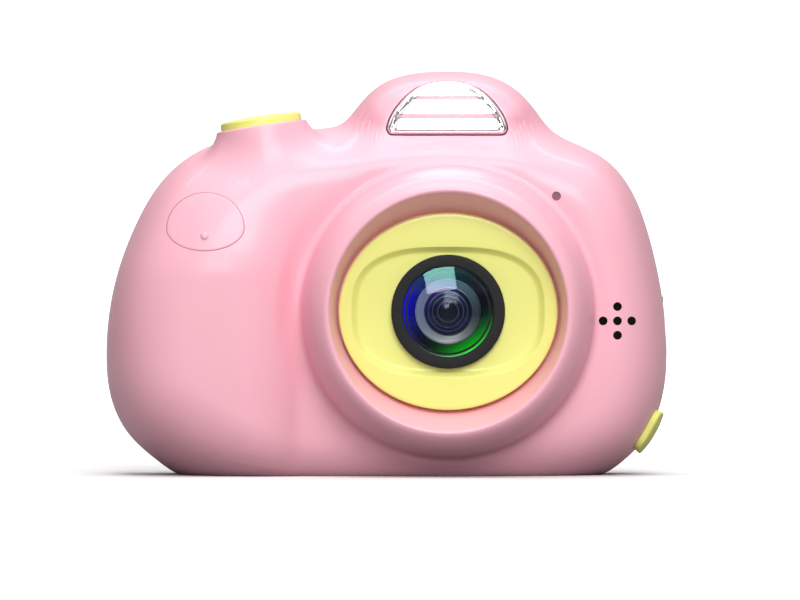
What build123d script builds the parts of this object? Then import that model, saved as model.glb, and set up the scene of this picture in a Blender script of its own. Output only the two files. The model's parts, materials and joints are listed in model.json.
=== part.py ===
from build123d import *

import os
from math import cos, pi, radians, sin

import numpy as np

# A child's digital camera: a soft-edged two-part casing with a grip bulge, a conical lens surround
# that holds an oval face plate, a ribbed mirror trim in the top hump, a tilted shutter button, a
# display and eight keys at the back, a micro USB port under a rubber flap and a memory card slot.
#
# Frame: millimetres, +Z up, the lens looks along -Y, +X is on the right of someone facing the lens.
# The origin is on the surface that the camera stands on, under the middle of the casing.

# ---------------------------------------------------------------- the casing
LENS_X, LENS_Z = 10.6, 28.4  # the optical axis, along Y
PART_Y = 6.5  # the plane where front and rear casing meet
FACE_Y = -14.5  # front face beside the lens
BACK_Y = 14.0  # rear face
WALL = 2.0  # casing thickness
GRIP_BULGE = 5.2  # how far the grip stands in front of the face
HUMP_SETBACK = 4.8  # how far the top hump stands behind the face
BACK_SETBACK = 3.5  # the same at the back of the hump
EDGE_POWER = 2.3  # roundness of the casing's edges: 2 is an ellipse, more is squarer
GRIP_EDGE, FACE_EDGE, HUMP_EDGE, BACK_EDGE = 15.0, 10.5, 5.5, 8.5  # widths of the rounded edges
TONGUE = (1.05, 1.95)  # how far inside the outline the rear casing's tongue starts and ends
TONGUE_H = 1.2
FIT = 0.12  # gap between fixed pieces that drop into a recess
RUN = 0.2  # gap round a moving button
SEAT = 1.2  # depth of the seats for the mirror trim and the grip inlay

# The casing seen from the front, clockwise from the lower left. The stretch below Z 0 is cut off
# by the flat base, and only shapes the rounding above it.
OUTLINE = [
    (-34.6, -0.9), (-41.2, 3.2), (-44.9, 6.7), (-48.3, 13.7), (-49.0, 21.5), (-47.65, 32.8),
    (-44.0, 43.3), (-38.6, 52.0), (-31.4, 57.2), (-21.0, 59.8), (-12.0, 60.4), (-7.9, 61.3),
    (-5.1, 64.2), (-1.6, 67.7), (3.5, 69.8), (10.3, 70.4), (17.1, 69.8), (22.1, 67.6),
    (25.6, 64.2), (28.4, 60.6), (32.6, 58.0), (38.0, 55.2), (42.4, 50.3), (45.9, 41.6),
    (48.2, 31.1), (49.0, 21.5), (48.3, 13.7), (45.0, 6.0), (40.0, 1.3), (33.0, -1.9),
    (20.0, -4.0), (0.0, -4.5), (-20.0, -3.9),
]  # fmt: skip
RAYS = 96  # points round each section of the casing
EDGE_STEPS = [radians(a) for a in (0, 3, 8, 15, 24, 35, 48, 62, 77, 90)]
FACE_STEPS = [0.14, 0.28, 0.42, 0.56, 0.70, 0.85, 1.0]

# ---------------------------------------------------------------- the lens
SURROUND = [(25.1, -13.9), (24.7, -17.2), (23.7, -21.2), (22.4, -24.0), (20.9, -25.2)]
MOUTH_R = 20.3  # the round mouth of the recess
HOLLOW_R = 22.4  # behind the recess floor
PLATE_A, PLATE_B = 18.8, 16.9  # half axes of the oval face plate
PLATE_Y, FLOOR_Y, FLOOR_BACK_Y = -20.1, -18.0, -16.4
POCKET_A, POCKET_B, POCKET_POWER = 16.4, 11.0, 2.8  # outline of the plate's sunk field
POCKET_DEPTH, POCKET_SLOPE = 0.9, 1.0
RING_R, WINDOW_R, LEDGE_R, RING_Y = 9.7, 7.8, 7.05, -20.7
WINDOW_Y, WINDOW_BACK_Y, WINDOW_DOME = -20.1, -19.2, 0.5
BARREL_R, BARREL_Y, BARREL_BACK_Y = 6.9, -19.0, -9.2
COLLAR_R, COLLAR_Y = 9.2, -12.0
HOLDER_W, HOLDER_BACK_Y = 16.0, -7.0
CAMERA_BOARD_T = 0.8

# ---------------------------------------------------------------- shutter button
SHUTTER_AT = (-21.7, -4.2, 60.6)  # middle of the plinth's top
SHUTTER_TILT = 8.5  # degrees, leaning to -X
SHUTTER_R, SHUTTER_H = 7.05, 1.5
PLINTH = [(7.9, 0), (9.0, -1.8), (9.3, -5.0), (9.3, -7.2)]  # radius and height
PLINTH_SHOULDER, PLINTH_CHAMBER_R = -3.2, 8.05

# ---------------------------------------------------------------- trims and small holes in front
TRIM_X, TRIM_TOP, TRIM_PROUD = 10.5, 68.4, 0.4
TRIM_HALF = [(9.6, 58.95), (10.4, 59.9), (9.9, 61.8), (8.6, 63.7), (6.6, 65.9), (3.7, 67.8)]
TRIM_SLOTS = [(65.4, 6.4, 0.5), (63.4, 6.2, 0.3), (61.8, 8.4, 0.5)]  # Z, half length, height
INLAY_X, INLAY_Z, INLAY_A, INLAY_UP, INLAY_DOWN = -31.1, 42.8, 6.75, 6.1, 4.0
NUB_X, NUB_Z, NUB_R = -31.2, 41.4, 0.8
HOLES_X, HOLES_Z, HOLE_PITCH, HOLE_R = 39.8, 26.8, 2.47, 0.75
SPEAKER_X, SPEAKER_R, SPEAKER_Y, SPEAKER_T = 37.0, 6.7, -8.5, 3.8
MIC_X, MIC_Z, MIC_R, MIC_Y = 29.3, 48.3, 1.7, -10.0

# ---------------------------------------------------------------- back of the camera
SCREEN_X, SCREEN_Z = 9.5, 27.6
BEZEL_W, BEZEL_H, BEZEL_CORNER, BEZEL_PROUD, BEZEL_SEAT = 54.0, 42.0, 6.0, 0.9, 0.8
WELL_W, WELL_H = 50.6, 38.6
GLASS_W, GLASS_H, GLASS_T = 47.0, 35.6, 1.0
PANEL_W, PANEL_H = 46.0, 34.6
VIEW_W, VIEW_H = 42.0, 31.8
KEY_PROUD, KEY_TRAVEL, KEY_LIP = 1.0, 0.5, 0.55
PAD_X, PAD_Z, PAD_OUT, PAD_IN, PAD_GAP = -29.5, 20.5, 9.8, 5.8, 1.6
ROUND_KEYS = {
    "power_button": (-26.5, 46.0, 3.2),
    "menu_button": (-35.0, 36.0, 2.8),
    "playback_button": (-24.0, 36.0, 2.8),
    "ok_button": (PAD_X, PAD_Z, 4.2),
}
ARROW_KEYS = {"right_key": 0, "up_key": 90, "left_key": 180, "down_key": 270}
KEY_BOARD_Y, KEY_BOARD_T, SWITCH_H = 8.6, 1.0, 0.7
KEY_BOARD = [
    (-42.0, 14.5), (-43.5, 22.0), (-43.0, 33.0), (-40.0, 43.0), (-31.5, 45.0), (-31.5, 51.5),
    (-19.5, 51.5), (-19.5, 8.0), (-34.5, 8.0), (-34.5, 12.0),
]  # fmt: skip
KEY_POSTS = [(-40.8, 29.5), (-21.5, 9.5), (-21.5, 41.5)]
LIGHT_X, LIGHT_Z, LIGHT_R = -16.0, 51.0, 0.9

# ---------------------------------------------------------------- boards and fixings
BOARD_Y, BOARD_T = 4.0, 1.2  # main board's front face and thickness
MAIN_BOARD = [
    (-18.0, 5.5), (37.0, 5.5), (37.0, 18.3), (45.2, 18.3), (45.4, 26.0), (44.6, 34.0),
    (42.6, 43.0), (35.8, 43.0), (35.8, 52.6), (-18.0, 52.6),
]  # fmt: skip
BOARD_POSTS = [(-12.0, 49.5), (-12.0, 8.0), (33.6, 50.2)]
BOSSES = [(-38.5, 8.0), (-35.5, 49.0), (41.0, 14.5), (39.5, 47.0)]
BOSS_R, SHANK_R, HEAD_R, HEAD_H, HEAD_Y = 3.1, 1.0, 2.0, 1.4, 10.4
POST_R, SMALL_SHANK_R, SMALL_HEAD_R, SMALL_HEAD_H = 2.0, 0.75, 1.4, 0.8

# ---------------------------------------------------------------- battery, port, card and strap
BATTERY = ((-38.5, -18.0), (-10.2, -2.2), (12.0, 41.0))
USB_Y, USB_Z, USB_W, USB_T, USB_MOUTH_X, USB_DEEP = 0.6, 7.5, 7.5, 2.6, 44.4, 5.6
PORT_W, PORT_H = 9.2, 3.4
FLAP_X, FLAP_Z = 46.0, 7.4  # on the casing's surface, in the middle of the flap
FLAP_TURN = 32.0  # degrees that the flap looks below +X
FLAP_H, FLAP_Y0, FLAP_Y1, FLAP_T = 8.0, -4.6, 6.0, 1.1
CARD_Y, CARD_Z, CARD_W, CARD_L, CARD_T, CARD_END_X = 3.1, 25.5, 11.0, 15.0, 0.8, 48.3
STRAP_Z, STRAP_X, STRAP_HOLE_R, STRAP_PITCH = 21.5, -48.3, 1.4, 5.4
STRAP_W, STRAP_H, STRAP_BACK_X = 5.0, 11.4, -44.8


# ---------------------------------------------------------------- small helpers
def box(x0, x1, y0, y1, z0, z1):
    """A block between two corners."""
    return Pos((x0 + x1) / 2, (y0 + y1) / 2, (z0 + z1) / 2) * Box(x1 - x0, y1 - y0, z1 - z0)


def rod(radius, y0, y1, x=0.0, z=0.0):
    """A cylinder along Y."""
    return Pos(x, (y0 + y1) / 2, z) * Rot(90, 0, 0) * Cylinder(radius, y1 - y0)


def tube(outer, inner, y0, y1, x=0.0, z=0.0):
    """A hollow cylinder along Y."""
    return rod(outer, y0, y1, x, z) - rod(inner, y0 - 1, y1 + 1, x, z)


def slab(sketch, y0, y1):
    """A sketch whose X and Y stand for X and Z, made solid between two Y planes."""
    return extrude(Plane.XZ.offset(-y1) * sketch, amount=y1 - y0)


def plate(width, height, corner, y0, y1, x, z):
    """A slab with rounded corners round a middle point."""
    return slab(Pos(x, z) * RectangleRounded(width, height, corner), y0, y1)


def outlined(points, y0, y1):
    """A slab with straight sides through points in X and Z."""
    return slab(make_face(Polyline(*points, close=True)), y0, y1)


def turned(points, x=LENS_X, z=LENS_Z):
    """A closed (radius, Y) polygon turned round an axis along Y."""
    return Pos(x, 0, z) * revolve(make_face(Polyline(*points, close=True)), Axis.Y)


def united(shapes):
    """Shapes gathered into one."""
    total = None
    for shape in shapes:
        total = shape if total is None else total + shape
    return total


def strip(points, thick):
    """A flat outline of even thickness along a bent line of points in two dimensions."""
    line = np.array(points, float)
    along = np.gradient(line, axis=0)
    along /= np.linalg.norm(along, axis=1)[:, None]
    aside = np.stack([-along[:, 1], along[:, 0]], 1) * thick / 2
    rim = list(line + aside) + list((line - aside)[::-1])
    return make_face(Polyline(*[tuple(p) for p in rim], close=True))


def lead(points, radius):
    """A round wire along a smooth line."""
    path = Spline(*points)
    start = Plane(origin=path @ 0, z_dir=path % 0)
    return sweep(start * Circle(radius), path=path)


def smooth(low, high, value):
    """0 below low, 1 above high and a smooth rise between."""
    t = np.clip((value - low) / (high - low), 0, 1)
    return t * t * (3 - 2 * t)


def round_curve(knots, values, at):
    """A cubic curve through values at the angles knots, closed over a full turn."""
    count = len(knots)
    ends = np.append(knots, knots[0] + 2 * pi)
    gap = np.diff(ends)
    system, right = np.zeros((count, count)), np.zeros(count)
    for i in range(count):
        before, after, following = gap[i - 1], gap[i], (i + 1) % count
        system[i, i - 1] += before
        system[i, i] += 2 * (before + after)
        system[i, following] += after
        slope_after = (values[following] - values[i]) / after
        slope_before = (values[i] - values[i - 1]) / before
        right[i] = 6 * (slope_after - slope_before)
    bend = np.linalg.solve(system, right)
    bend, level = np.append(bend, bend[0]), np.append(values, values[0])
    at = (at - knots[0]) % (2 * pi) + knots[0]
    i = np.clip(np.searchsorted(ends, at, side="right") - 1, 0, count - 1)
    a = (ends[i + 1] - at) / gap[i]
    b = 1 - a
    curve = ((a**3 - a) * bend[i] + (b**3 - b) * bend[i + 1]) * gap[i] ** 2 / 6
    return a * level[i] + b * level[i + 1] + curve


def closed_curve(points):
    """A smooth closed edge through points, spaced evenly along its parameter."""
    share = [i / len(points) for i in range(len(points) + 1)]
    return Edge.make_spline([Vector(*p) for p in points], periodic=True, parameters=share)


# ---------------------------------------------------------------- the casing's outer form
def outline():
    """Points round the casing in X and Z, the inward direction at each, and rays from the lens."""
    from_lens = np.array(OUTLINE) - (LENS_X, LENS_Z)
    angle = np.arctan2(from_lens[:, 1], from_lens[:, 0]) % (2 * pi)
    order = np.argsort(angle)
    radius = np.hypot(*from_lens.T)
    turn = np.arange(RAYS) * 2 * pi / RAYS
    reach = round_curve(angle[order], radius[order], turn)
    ray = np.stack([np.cos(turn), np.sin(turn)], 1)
    points = np.array([LENS_X, LENS_Z]) + ray * reach[:, None]
    along = np.roll(points, -1, 0) - np.roll(points, 1, 0)
    along /= np.linalg.norm(along, axis=1)[:, None]
    return points, np.stack([-along[:, 1], along[:, 0]], 1), ray


def front_depth(x, z):
    """How far the casing's front stands in front of Y 0, away from its rounded edge."""
    depth = -FACE_Y - 0.0010 * (z - 26) ** 2
    crease_x = -15.3 - 3 * smooth(38, 56, z)
    softness = 0.06 + 0.5 * smooth(36, 56, z)
    u = (crease_x - x) / 15
    u = np.minimum(0.5 * (u + np.sqrt(u * u + softness**2)), 1)
    depth = depth + GRIP_BULGE * (1 - (1 - u) ** 2.2) * (1 - 0.8 * smooth(34, 60, z))
    depth = depth - HUMP_SETBACK * smooth(53, 61, z)
    near_lens = 1 - smooth(24.2, 30, np.hypot(x - LENS_X, z - LENS_Z))
    return depth * (1 - near_lens) + 14.0 * near_lens


def back_depth(x, z):
    """How far the casing's back stands behind Y 0, away from its rounded edge."""
    return BACK_Y - BACK_SETBACK * smooth(53, 61, z) + 0 * x


def form(front, inset=0.0):
    """The casing's outer form in front of or behind the parting plane, as a solid, or the same
    form moved inward by inset and lengthened past the parting plane. Its sections follow the
    outline, then close in on a circle round the lens."""
    points, inward, ray = outline()
    if front:
        edge = GRIP_EDGE + (FACE_EDGE - GRIP_EDGE) * smooth(-36, -10, points[:, 0])
        edge = edge + (HUMP_EDGE - FACE_EDGE) * smooth(60.5, 66, points[:, 1])
        depth, sign, last = front_depth, -1, 18.0
    else:
        edge = BACK_EDGE + (HUMP_EDGE - BACK_EDGE) * smooth(60.5, 66, points[:, 1])
        depth, sign, last = back_depth, 1, 18.0
    points, edge = points + inward * inset, edge - inset
    sections = []
    for step in EDGE_STEPS:
        flat = points + inward * (edge * (1 - cos(step) ** (2 / EDGE_POWER)))[:, None]
        reach = sign * (depth(flat[:, 0], flat[:, 1]) - inset) - PART_Y
        rise = reach * sin(step) ** (2 / EDGE_POWER)
        sections.append(np.stack([flat[:, 0], PART_Y + rise, flat[:, 1]], 1))
    rim = points + inward * edge[:, None]
    circle = np.array([LENS_X, LENS_Z]) + ray * last
    for share in FACE_STEPS:
        flat = rim * (1 - share) + circle * share
        level = sign * (depth(flat[:, 0], flat[:, 1]) - inset)
        sections.append(np.stack([flat[:, 0], level, flat[:, 1]], 1))
    if inset:
        sections.insert(0, sections[0] + (0, -2.0 * sign, 0))
    return Solid.make_loft([Wire([closed_curve(section)]) for section in sections])


def above(shape, z):
    """What of a shape is above a height."""
    return shape & box(-80, 80, -80, 80, z, 120)


def outline_prism(inset, y0, y1):
    """The casing's outline moved inward, as a prism between two Y planes."""
    points, inward, _ = outline()
    points = points + inward * inset
    curve = closed_curve([(x, y1, z) for x, z in points])
    prism = Solid.extrude(Face(Wire([curve])), Vector(0, y0 - y1, 0))
    return above(prism, inset)


FRONT_FORM = form(True)
BACK_FORM = form(False)
FRONT_CAVITY = above(form(True, WALL), WALL)
BACK_CAVITY = above(form(False, WALL), WALL)
SEAT_FORM = form(True, SEAT)
SEAM = (PART_Y - TONGUE_H, PART_Y)
SHUTTER = Pos(*SHUTTER_AT) * Rot(0, -SHUTTER_TILT, 0)  # +Z is the button's axis
FLAP = Pos(FLAP_X, 0, FLAP_Z) * Rot(0, FLAP_TURN, 0)  # +X looks away from the casing
SWITCH_Y = KEY_BOARD_Y + KEY_BOARD_T


def oval(a, b, y0, y1):
    """An elliptical slab round the lens axis."""
    return slab(Pos(LENS_X, LENS_Z) * Ellipse(a, b), y0, y1)


def flared(wires):
    """A solid through closed wires, with straight sides."""
    return Solid.make_loft(wires, ruled=True)


# ---------------------------------------------------------------- lens and camera module
def surround():
    """The cone that stands round the lens, solid."""
    sides = Line((0, -12), (SURROUND[0][0], -12)) + Line((SURROUND[0][0], -12), SURROUND[0])
    sides += Spline(*SURROUND, tangents=[(-0.15, -1), (-1, 0)])
    sides += Line(SURROUND[-1], (0, SURROUND[-1][1])) + Line((0, SURROUND[-1][1]), (0, -12))
    return Pos(LENS_X, 0, LENS_Z) * revolve(make_face(sides), Axis.Y)


def lens_recess():
    """The round mouth that narrows to the oval floor of the face plate."""
    mouth_y = SURROUND[-1][1]
    front = Plane(origin=(LENS_X, mouth_y, LENS_Z), x_dir=(1, 0, 0), z_dir=(0, -1, 0))
    floor = Plane(origin=(LENS_X, FLOOR_Y, LENS_Z), x_dir=(1, 0, 0), z_dir=(0, -1, 0))
    mouth = Edge.make_ellipse(MOUTH_R, MOUTH_R - 0.001, front)
    seat = Edge.make_ellipse(PLATE_A + FIT, PLATE_B + FIT, floor)
    return Solid.make_loft([Wire([mouth]), Wire([seat])])


def pocket_wire(a, b, y):
    """A squared oval round the lens axis."""
    turn = np.arange(48) * 2 * pi / 48
    power = 2 / POCKET_POWER
    x = LENS_X + a * np.sign(np.cos(turn)) * np.abs(np.cos(turn)) ** power
    z = LENS_Z + b * np.sign(np.sin(turn)) * np.abs(np.sin(turn)) ** power
    return Wire([closed_curve([(px, y, pz) for px, pz in zip(x, z)])])


def lens_bezel():
    """The oval face plate with its sunk field and the hole for the lens ring."""
    outer = pocket_wire(POCKET_A, POCKET_B, PLATE_Y)
    inner = pocket_wire(POCKET_A - POCKET_SLOPE, POCKET_B - POCKET_SLOPE, PLATE_Y + POCKET_DEPTH)
    disc = oval(PLATE_A, PLATE_B, PLATE_Y, FLOOR_Y) - flared([outer, inner])
    return disc - rod(RING_R + 0.1, PLATE_Y - 1, FLOOR_Y + 1, LENS_X, LENS_Z)


def lens_ring():
    """The black ring with a ledge for the window."""
    return turned([
        (LEDGE_R, FLOOR_Y), (RING_R, FLOOR_Y), (RING_R, RING_Y + 0.4), (RING_R - 0.35, RING_Y),
        (WINDOW_R + 0.35, RING_Y), (WINDOW_R + 0.05, RING_Y + 0.35),
        (WINDOW_R + 0.05, WINDOW_BACK_Y), (LEDGE_R, WINDOW_BACK_Y),
    ])  # fmt: skip


def round_lens(radius, front_y, back_y, front_bulge, back_bulge):
    """A round lens whose faces bulge outward by the given amounts."""
    radii = np.linspace(0, radius, 9)
    swell = 1 - (radii / radius) ** 2
    rim = [(r, front_y - front_bulge * s) for r, s in zip(radii, swell)]
    rim += [(r, back_y + back_bulge * s) for r, s in zip(radii[::-1], swell[::-1])]
    return turned(rim)


def lens_barrel():
    """The barrel: stepped cone in front, then seats for two lenses and the aperture."""
    return turned([
        (BARREL_R, BARREL_Y), (BARREL_R, BARREL_BACK_Y), (3.6, BARREL_BACK_Y), (3.6, -12.6),
        (3.0, -12.6), (3.0, -14.0), (4.2, -14.0), (4.2, -16.4), (4.05, -16.4), (4.05, -17.2),
        (5.0, -17.2), (5.65, -18.6), (6.1, -18.6), (6.1, BARREL_Y),
    ])  # fmt: skip


def lens_holder():
    """The square block behind the barrel, round in the middle."""
    half = HOLDER_W / 2
    x0, x1, z0, z1 = LENS_X - half, LENS_X + half, LENS_Z - half, LENS_Z + half
    block = box(x0, x1, COLLAR_Y, HOLDER_BACK_Y, z0, z1)
    block -= rod(BARREL_R + 0.05, COLLAR_Y - 1, BARREL_BACK_Y, LENS_X, LENS_Z)
    return block - rod(5.0, BARREL_BACK_Y - 0.1, HOLDER_BACK_Y + 1, LENS_X, LENS_Z)


def camera_board():
    half = HOLDER_W / 2
    x0, x1, z0, z1 = LENS_X - half, LENS_X + half, LENS_Z - half, LENS_Z + half
    return box(x0, x1, HOLDER_BACK_Y, HOLDER_BACK_Y + CAMERA_BOARD_T, z0, z1)


def image_sensor():
    x0, z0 = LENS_X - 3, LENS_Z - 2.5
    return box(x0, x0 + 6, HOLDER_BACK_Y - 0.9, HOLDER_BACK_Y, z0, z0 + 5)


def camera_flex():
    """The ribbon from the camera board down and back to its connector on the main board."""
    y = HOLDER_BACK_Y + CAMERA_BOARD_T + 0.1
    line = [(y, 27.0), (y, 20.0), (y + 1.6, 16.0), (BOARD_Y - 3.0, 12.9), (BOARD_Y - 1.0, 12.9)]
    ribbon = Plane.YZ * strip(line, 0.2)
    return Pos(LENS_X - 3.5, 0, 0) * extrude(ribbon, amount=7)


# ---------------------------------------------------------------- pieces set into the front
def trim_outline(grow):
    """The flat-footed arch of the mirror trim, in X and Z."""
    half = [(x + grow, z + (grow if x < 8 else 0)) for x, z in TRIM_HALF]
    half[0] = (half[0][0], half[0][1] - grow)
    top = (0, TRIM_TOP + grow)
    right = Spline(*half[1:], top, tangents=[(0.2, 1), (-1, 0)])
    left = mirror(right, Plane.YZ)
    corner = Line(half[0], half[1]) + Line((-half[0][0], half[0][1]), (-half[1][0], half[1][1]))
    foot = Line(half[0], (-half[0][0], half[0][1]))
    return Pos(TRIM_X, 0) * make_face(right + left + corner + foot)


def trim_side(back):
    """Everything behind the trim's gently curved front, moved backward."""
    front = [(-9.0, 57.0), (-8.95, 61.0), (-8.7, 65.0), (-8.0, 67.2), (-6.3, 69.0)]
    curve = Spline(*[(y + back, z) for y, z in front])
    sides = curve + Line(curve @ 1, (0, 69)) + Line((0, 69), (0, 57)) + Line((0, 57), curve @ 0)
    return Pos(TRIM_X - 15, 0, 0) * extrude(Plane.YZ * make_face(sides), amount=30)


def trim_seat():
    return slab(trim_outline(FIT), -20, 0) - trim_side(1.8)


def flash_trim():
    """A mirror arch with three level slots."""
    arch = (slab(trim_outline(0), -20, 0) & trim_side(0)) - trim_side(1.8)
    slots = [
        box(TRIM_X - half, TRIM_X + half, -12, 0, z - height / 2, z + height / 2)
        for z, half, height in TRIM_SLOTS
    ]
    return arch - (united(slots) - trim_side(0.45))


def inlay_outline(grow):
    """Two half ellipses of different height on one widest line."""
    a, up, down = INLAY_A + grow, INLAY_UP + grow, INLAY_DOWN + grow
    upper = Ellipse(a, up) & Pos(0, 20) * Rectangle(40, 40)
    lower = Ellipse(a, down) & Pos(0, -20) * Rectangle(40, 40)
    return Pos(INLAY_X, INLAY_Z) * (upper + lower)


def inlay_seat():
    return slab(inlay_outline(0.08), -30, 0) - SEAT_FORM


def grip_inlay():
    """The flush inlay with its small nub."""
    piece = (slab(inlay_outline(0), -30, 0) & FRONT_FORM) - SEAT_FORM
    nub_y = -front_depth(NUB_X, NUB_Z)
    return piece + rod(NUB_R, nub_y - 0.3, nub_y + 0.8, NUB_X, NUB_Z)


def speaker_holes():
    spots = [(0, 0), (1, 0), (-1, 0), (0, 1), (0, -1)]
    holes = [
        rod(HOLE_R, -20, SPEAKER_Y - 1, HOLES_X + i * HOLE_PITCH, HOLES_Z + k * HOLE_PITCH)
        for i, k in spots
    ]
    return united(holes)


def speaker_frame():
    """A shallow basket with the magnet pot's shoulder behind."""
    y = SPEAKER_Y
    return turned([
        (5.6, y), (SPEAKER_R, y), (SPEAKER_R, y + 1.6), (4.9, y + SPEAKER_T - 0.8),
        (4.1, y + SPEAKER_T - 0.8), (4.1, y + 2.4), (5.6, y + 1.2),
    ], SPEAKER_X, HOLES_Z)  # fmt: skip


def speaker_cone():
    y = SPEAKER_Y
    return turned([
        (0, y + 0.5), (2.2, y + 0.9), (4.4, y + 0.35), (5.5, y + 0.5), (5.5, y + 0.7),
        (4.4, y + 0.55), (2.2, y + 1.1), (0, y + 0.7),
    ], SPEAKER_X, HOLES_Z)  # fmt: skip


def speaker_magnet():
    return rod(4.05, SPEAKER_Y + 1.8, SPEAKER_Y + SPEAKER_T, SPEAKER_X, HOLES_Z)


def speaker_gasket():
    ring = tube(4.2, 3.5, SPEAKER_Y - 0.4, SPEAKER_Y, HOLES_X, HOLES_Z)
    return ring & rod(SPEAKER_R - 0.7, -20, 0, SPEAKER_X, HOLES_Z)


def speaker_leads():
    y = SPEAKER_Y + SPEAKER_T
    wires = [
        lead([(x, y + 0.4, 24), (x - 2.5, y + 2, 24), (x - 7, y + 4, 23), (x - 9, BOARD_Y - 0.2, 22)], 0.4)
        for x in (36.4, 38.0)
    ]
    return united(wires)


def microphone():
    return rod(MIC_R, MIC_Y - 1.2, MIC_Y + 0.6, MIC_X, MIC_Z)


def microphone_boot():
    return turned([
        (MIC_R + 0.05, MIC_Y - 1.2), (2.3, MIC_Y - 1.2), (2.3, MIC_Y + 1.4), (0.6, MIC_Y + 1.4),
        (0.6, MIC_Y + 0.7), (MIC_R + 0.05, MIC_Y + 0.7),
    ], MIC_X, MIC_Z)  # fmt: skip


# ---------------------------------------------------------------- shutter button
def turned_up(points):
    """A closed (radius, height) polygon turned round the shutter's axis."""
    return SHUTTER * revolve(Plane.XZ * make_face(Polyline(*points, close=True)), Axis.Z)


def plinth():
    return turned_up([(0, 0)] + PLINTH + [(0, PLINTH[-1][1])])


def plinth_bore():
    low, r = PLINTH[-1][1] - 1.2, SHUTTER_R + RUN
    return turned_up([
        (0, 1), (r, 1), (r, PLINTH_SHOULDER), (PLINTH_CHAMBER_R, PLINTH_SHOULDER),
        (PLINTH_CHAMBER_R, low), (0, low),
    ])  # fmt: skip


def shutter_button():
    """A cup with a lip that keeps it in, and a stem that presses the switch."""
    r, top, lip = SHUTTER_R, SHUTTER_H, PLINTH_SHOULDER - 0.08
    return turned_up([
        (0, top + 0.35), (r * 0.5, top + 0.27), (r - 0.5, top), (r, top - 0.5), (r, lip),
        (r + 0.65, lip), (r + 0.65, lip - 0.7), (5.8, lip - 0.7), (5.8, 0.2), (1.5, 0.2),
        (1.5, -4.5), (0.9, -4.5), (0.9, -5.75), (0, -5.75),
    ])  # fmt: skip


def shutter_switch():
    body = SHUTTER * Pos(0, 0, -6.35) * Box(6, 6, 1.7)
    return body - SHUTTER * Pos(0, 0, -5.5) * Cylinder(1.1, 2.6)


def shutter_board():
    """The small board under the plinth's tube."""
    return SHUTTER * Pos(0, 2, -7.7) * Box(13, 12, 1.0)


# ---------------------------------------------------------------- port, card, strap
def usb_socket():
    """The port's steel shell with its tongue."""
    x0, y, z, w, t = USB_MOUTH_X - USB_DEEP, USB_Y, USB_Z, USB_W / 2, USB_T / 2
    shell = box(x0, USB_MOUTH_X, y - w, y + w, z - t, z + t)
    shell -= box(x0 + 0.5, 60, y - w + 0.3, y + w - 0.3, z - t + 0.3, z + t - 0.3)
    return shell + box(x0 + 0.4, USB_MOUTH_X - 1, y - 1.8, y + 1.8, z - 0.3, z + 0.3)


def usb_board():
    low = USB_Z - USB_T / 2
    return box(33.0, 38.9, USB_Y - 4.0, BOARD_Y - 0.05, low - 0.9, low)


def port_hole():
    return box(USB_MOUTH_X - 7, 60, USB_Y - PORT_W / 2, USB_Y + PORT_W / 2,
               USB_Z - PORT_H / 2, USB_Z + PORT_H / 2)


def port_cover():
    """The rubber flap that follows the casing's lower corner, with a plug in the port."""
    middle, deep = (FLAP_Y0 + FLAP_Y1) / 2, FLAP_Y1 - FLAP_Y0
    face = Plane(FLAP * Location((-3.0, middle, 0), (0, 90, 0)))
    blank = extrude(face * RectangleRounded(FLAP_H, deep, 2.4), amount=8)
    outside = outline_prism(-FLAP_T, FLAP_Y0 - 1, FLAP_Y1 + 1)
    skin = (blank & outside) - outline_prism(-0.02, FLAP_Y0 - 2, FLAP_Y1 + 2)
    plug = box(USB_MOUTH_X + 0.3, 46.6, USB_Y - 4.2, USB_Y + 4.0, USB_Z - 1.3, USB_Z + 1.3)
    return skin + (plug & outline_prism(-0.5, FLAP_Y0 - 2, FLAP_Y1 + 2))


def card_space(grow):
    half = CARD_W / 2 + grow
    y0, y1 = CARD_Y - CARD_T / 2 - grow, CARD_Y + CARD_T / 2 + grow
    return box(CARD_END_X - CARD_L - grow, 60, y0, y1, CARD_Z - half, CARD_Z + half)


def memory_card():
    card = card_space(0) & box(0, CARD_END_X, -20, 20, 0, 60)
    return card - box(0, 36.0, -20, 20, CARD_Z + CARD_W / 2 - 1.2, 60)


def card_socket():
    shell = box(32.6, 45.6, BOARD_Y - 2.0, BOARD_Y, CARD_Z - 7, CARD_Z + 7)
    return shell - card_space(0.15)


def card_notch():
    """The slot in the side and the scoop for a fingertip."""
    return (card_space(0.25) - box(0, 44, -50, 50, -50, 99)) + Pos(52.6, CARD_Y, CARD_Z) * Sphere(5.0)


def strap_plate():
    """The anchor plate with two holes, and the flange that the casings hold."""
    y, w, h = PART_Y, STRAP_W / 2, STRAP_H / 2
    body = box(STRAP_X, STRAP_BACK_X, y - w, y + w, STRAP_Z - h, STRAP_Z + h)
    body += box(-45.6, STRAP_BACK_X, y - w - 0.9, y + w + 0.4, STRAP_Z - h - 0.9, STRAP_Z + h + 0.9)
    for side in (-1, 1):
        hole = Rot(0, 90, 0) * Cylinder(STRAP_HOLE_R, 20)
        body -= Pos(-47, y, STRAP_Z + side * STRAP_PITCH / 2) * hole
    return body


def strap_window():
    y, w, h = PART_Y, STRAP_W / 2 + FIT, STRAP_H / 2 + FIT
    return box(-60, -44, y - w, y + w, STRAP_Z - h, STRAP_Z + h)


# ---------------------------------------------------------------- keys and display
def pad_key(grow, y0, y1):
    """One quarter of the direction pad, for the right-hand key, round the pad's middle."""
    out, into, gap = PAD_OUT + grow, PAD_IN - grow, PAD_GAP / 2 - grow
    quarter = rod(out, y0, y1) - rod(into, y0 - 1, y1 + 1)
    wedge = Pos(gap * 2**0.5, 0, 0) * Rot(0, 45, 0) * box(0, 30, y0 - 1, y1 + 1, 0, 30)
    return quarter & wedge


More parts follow.
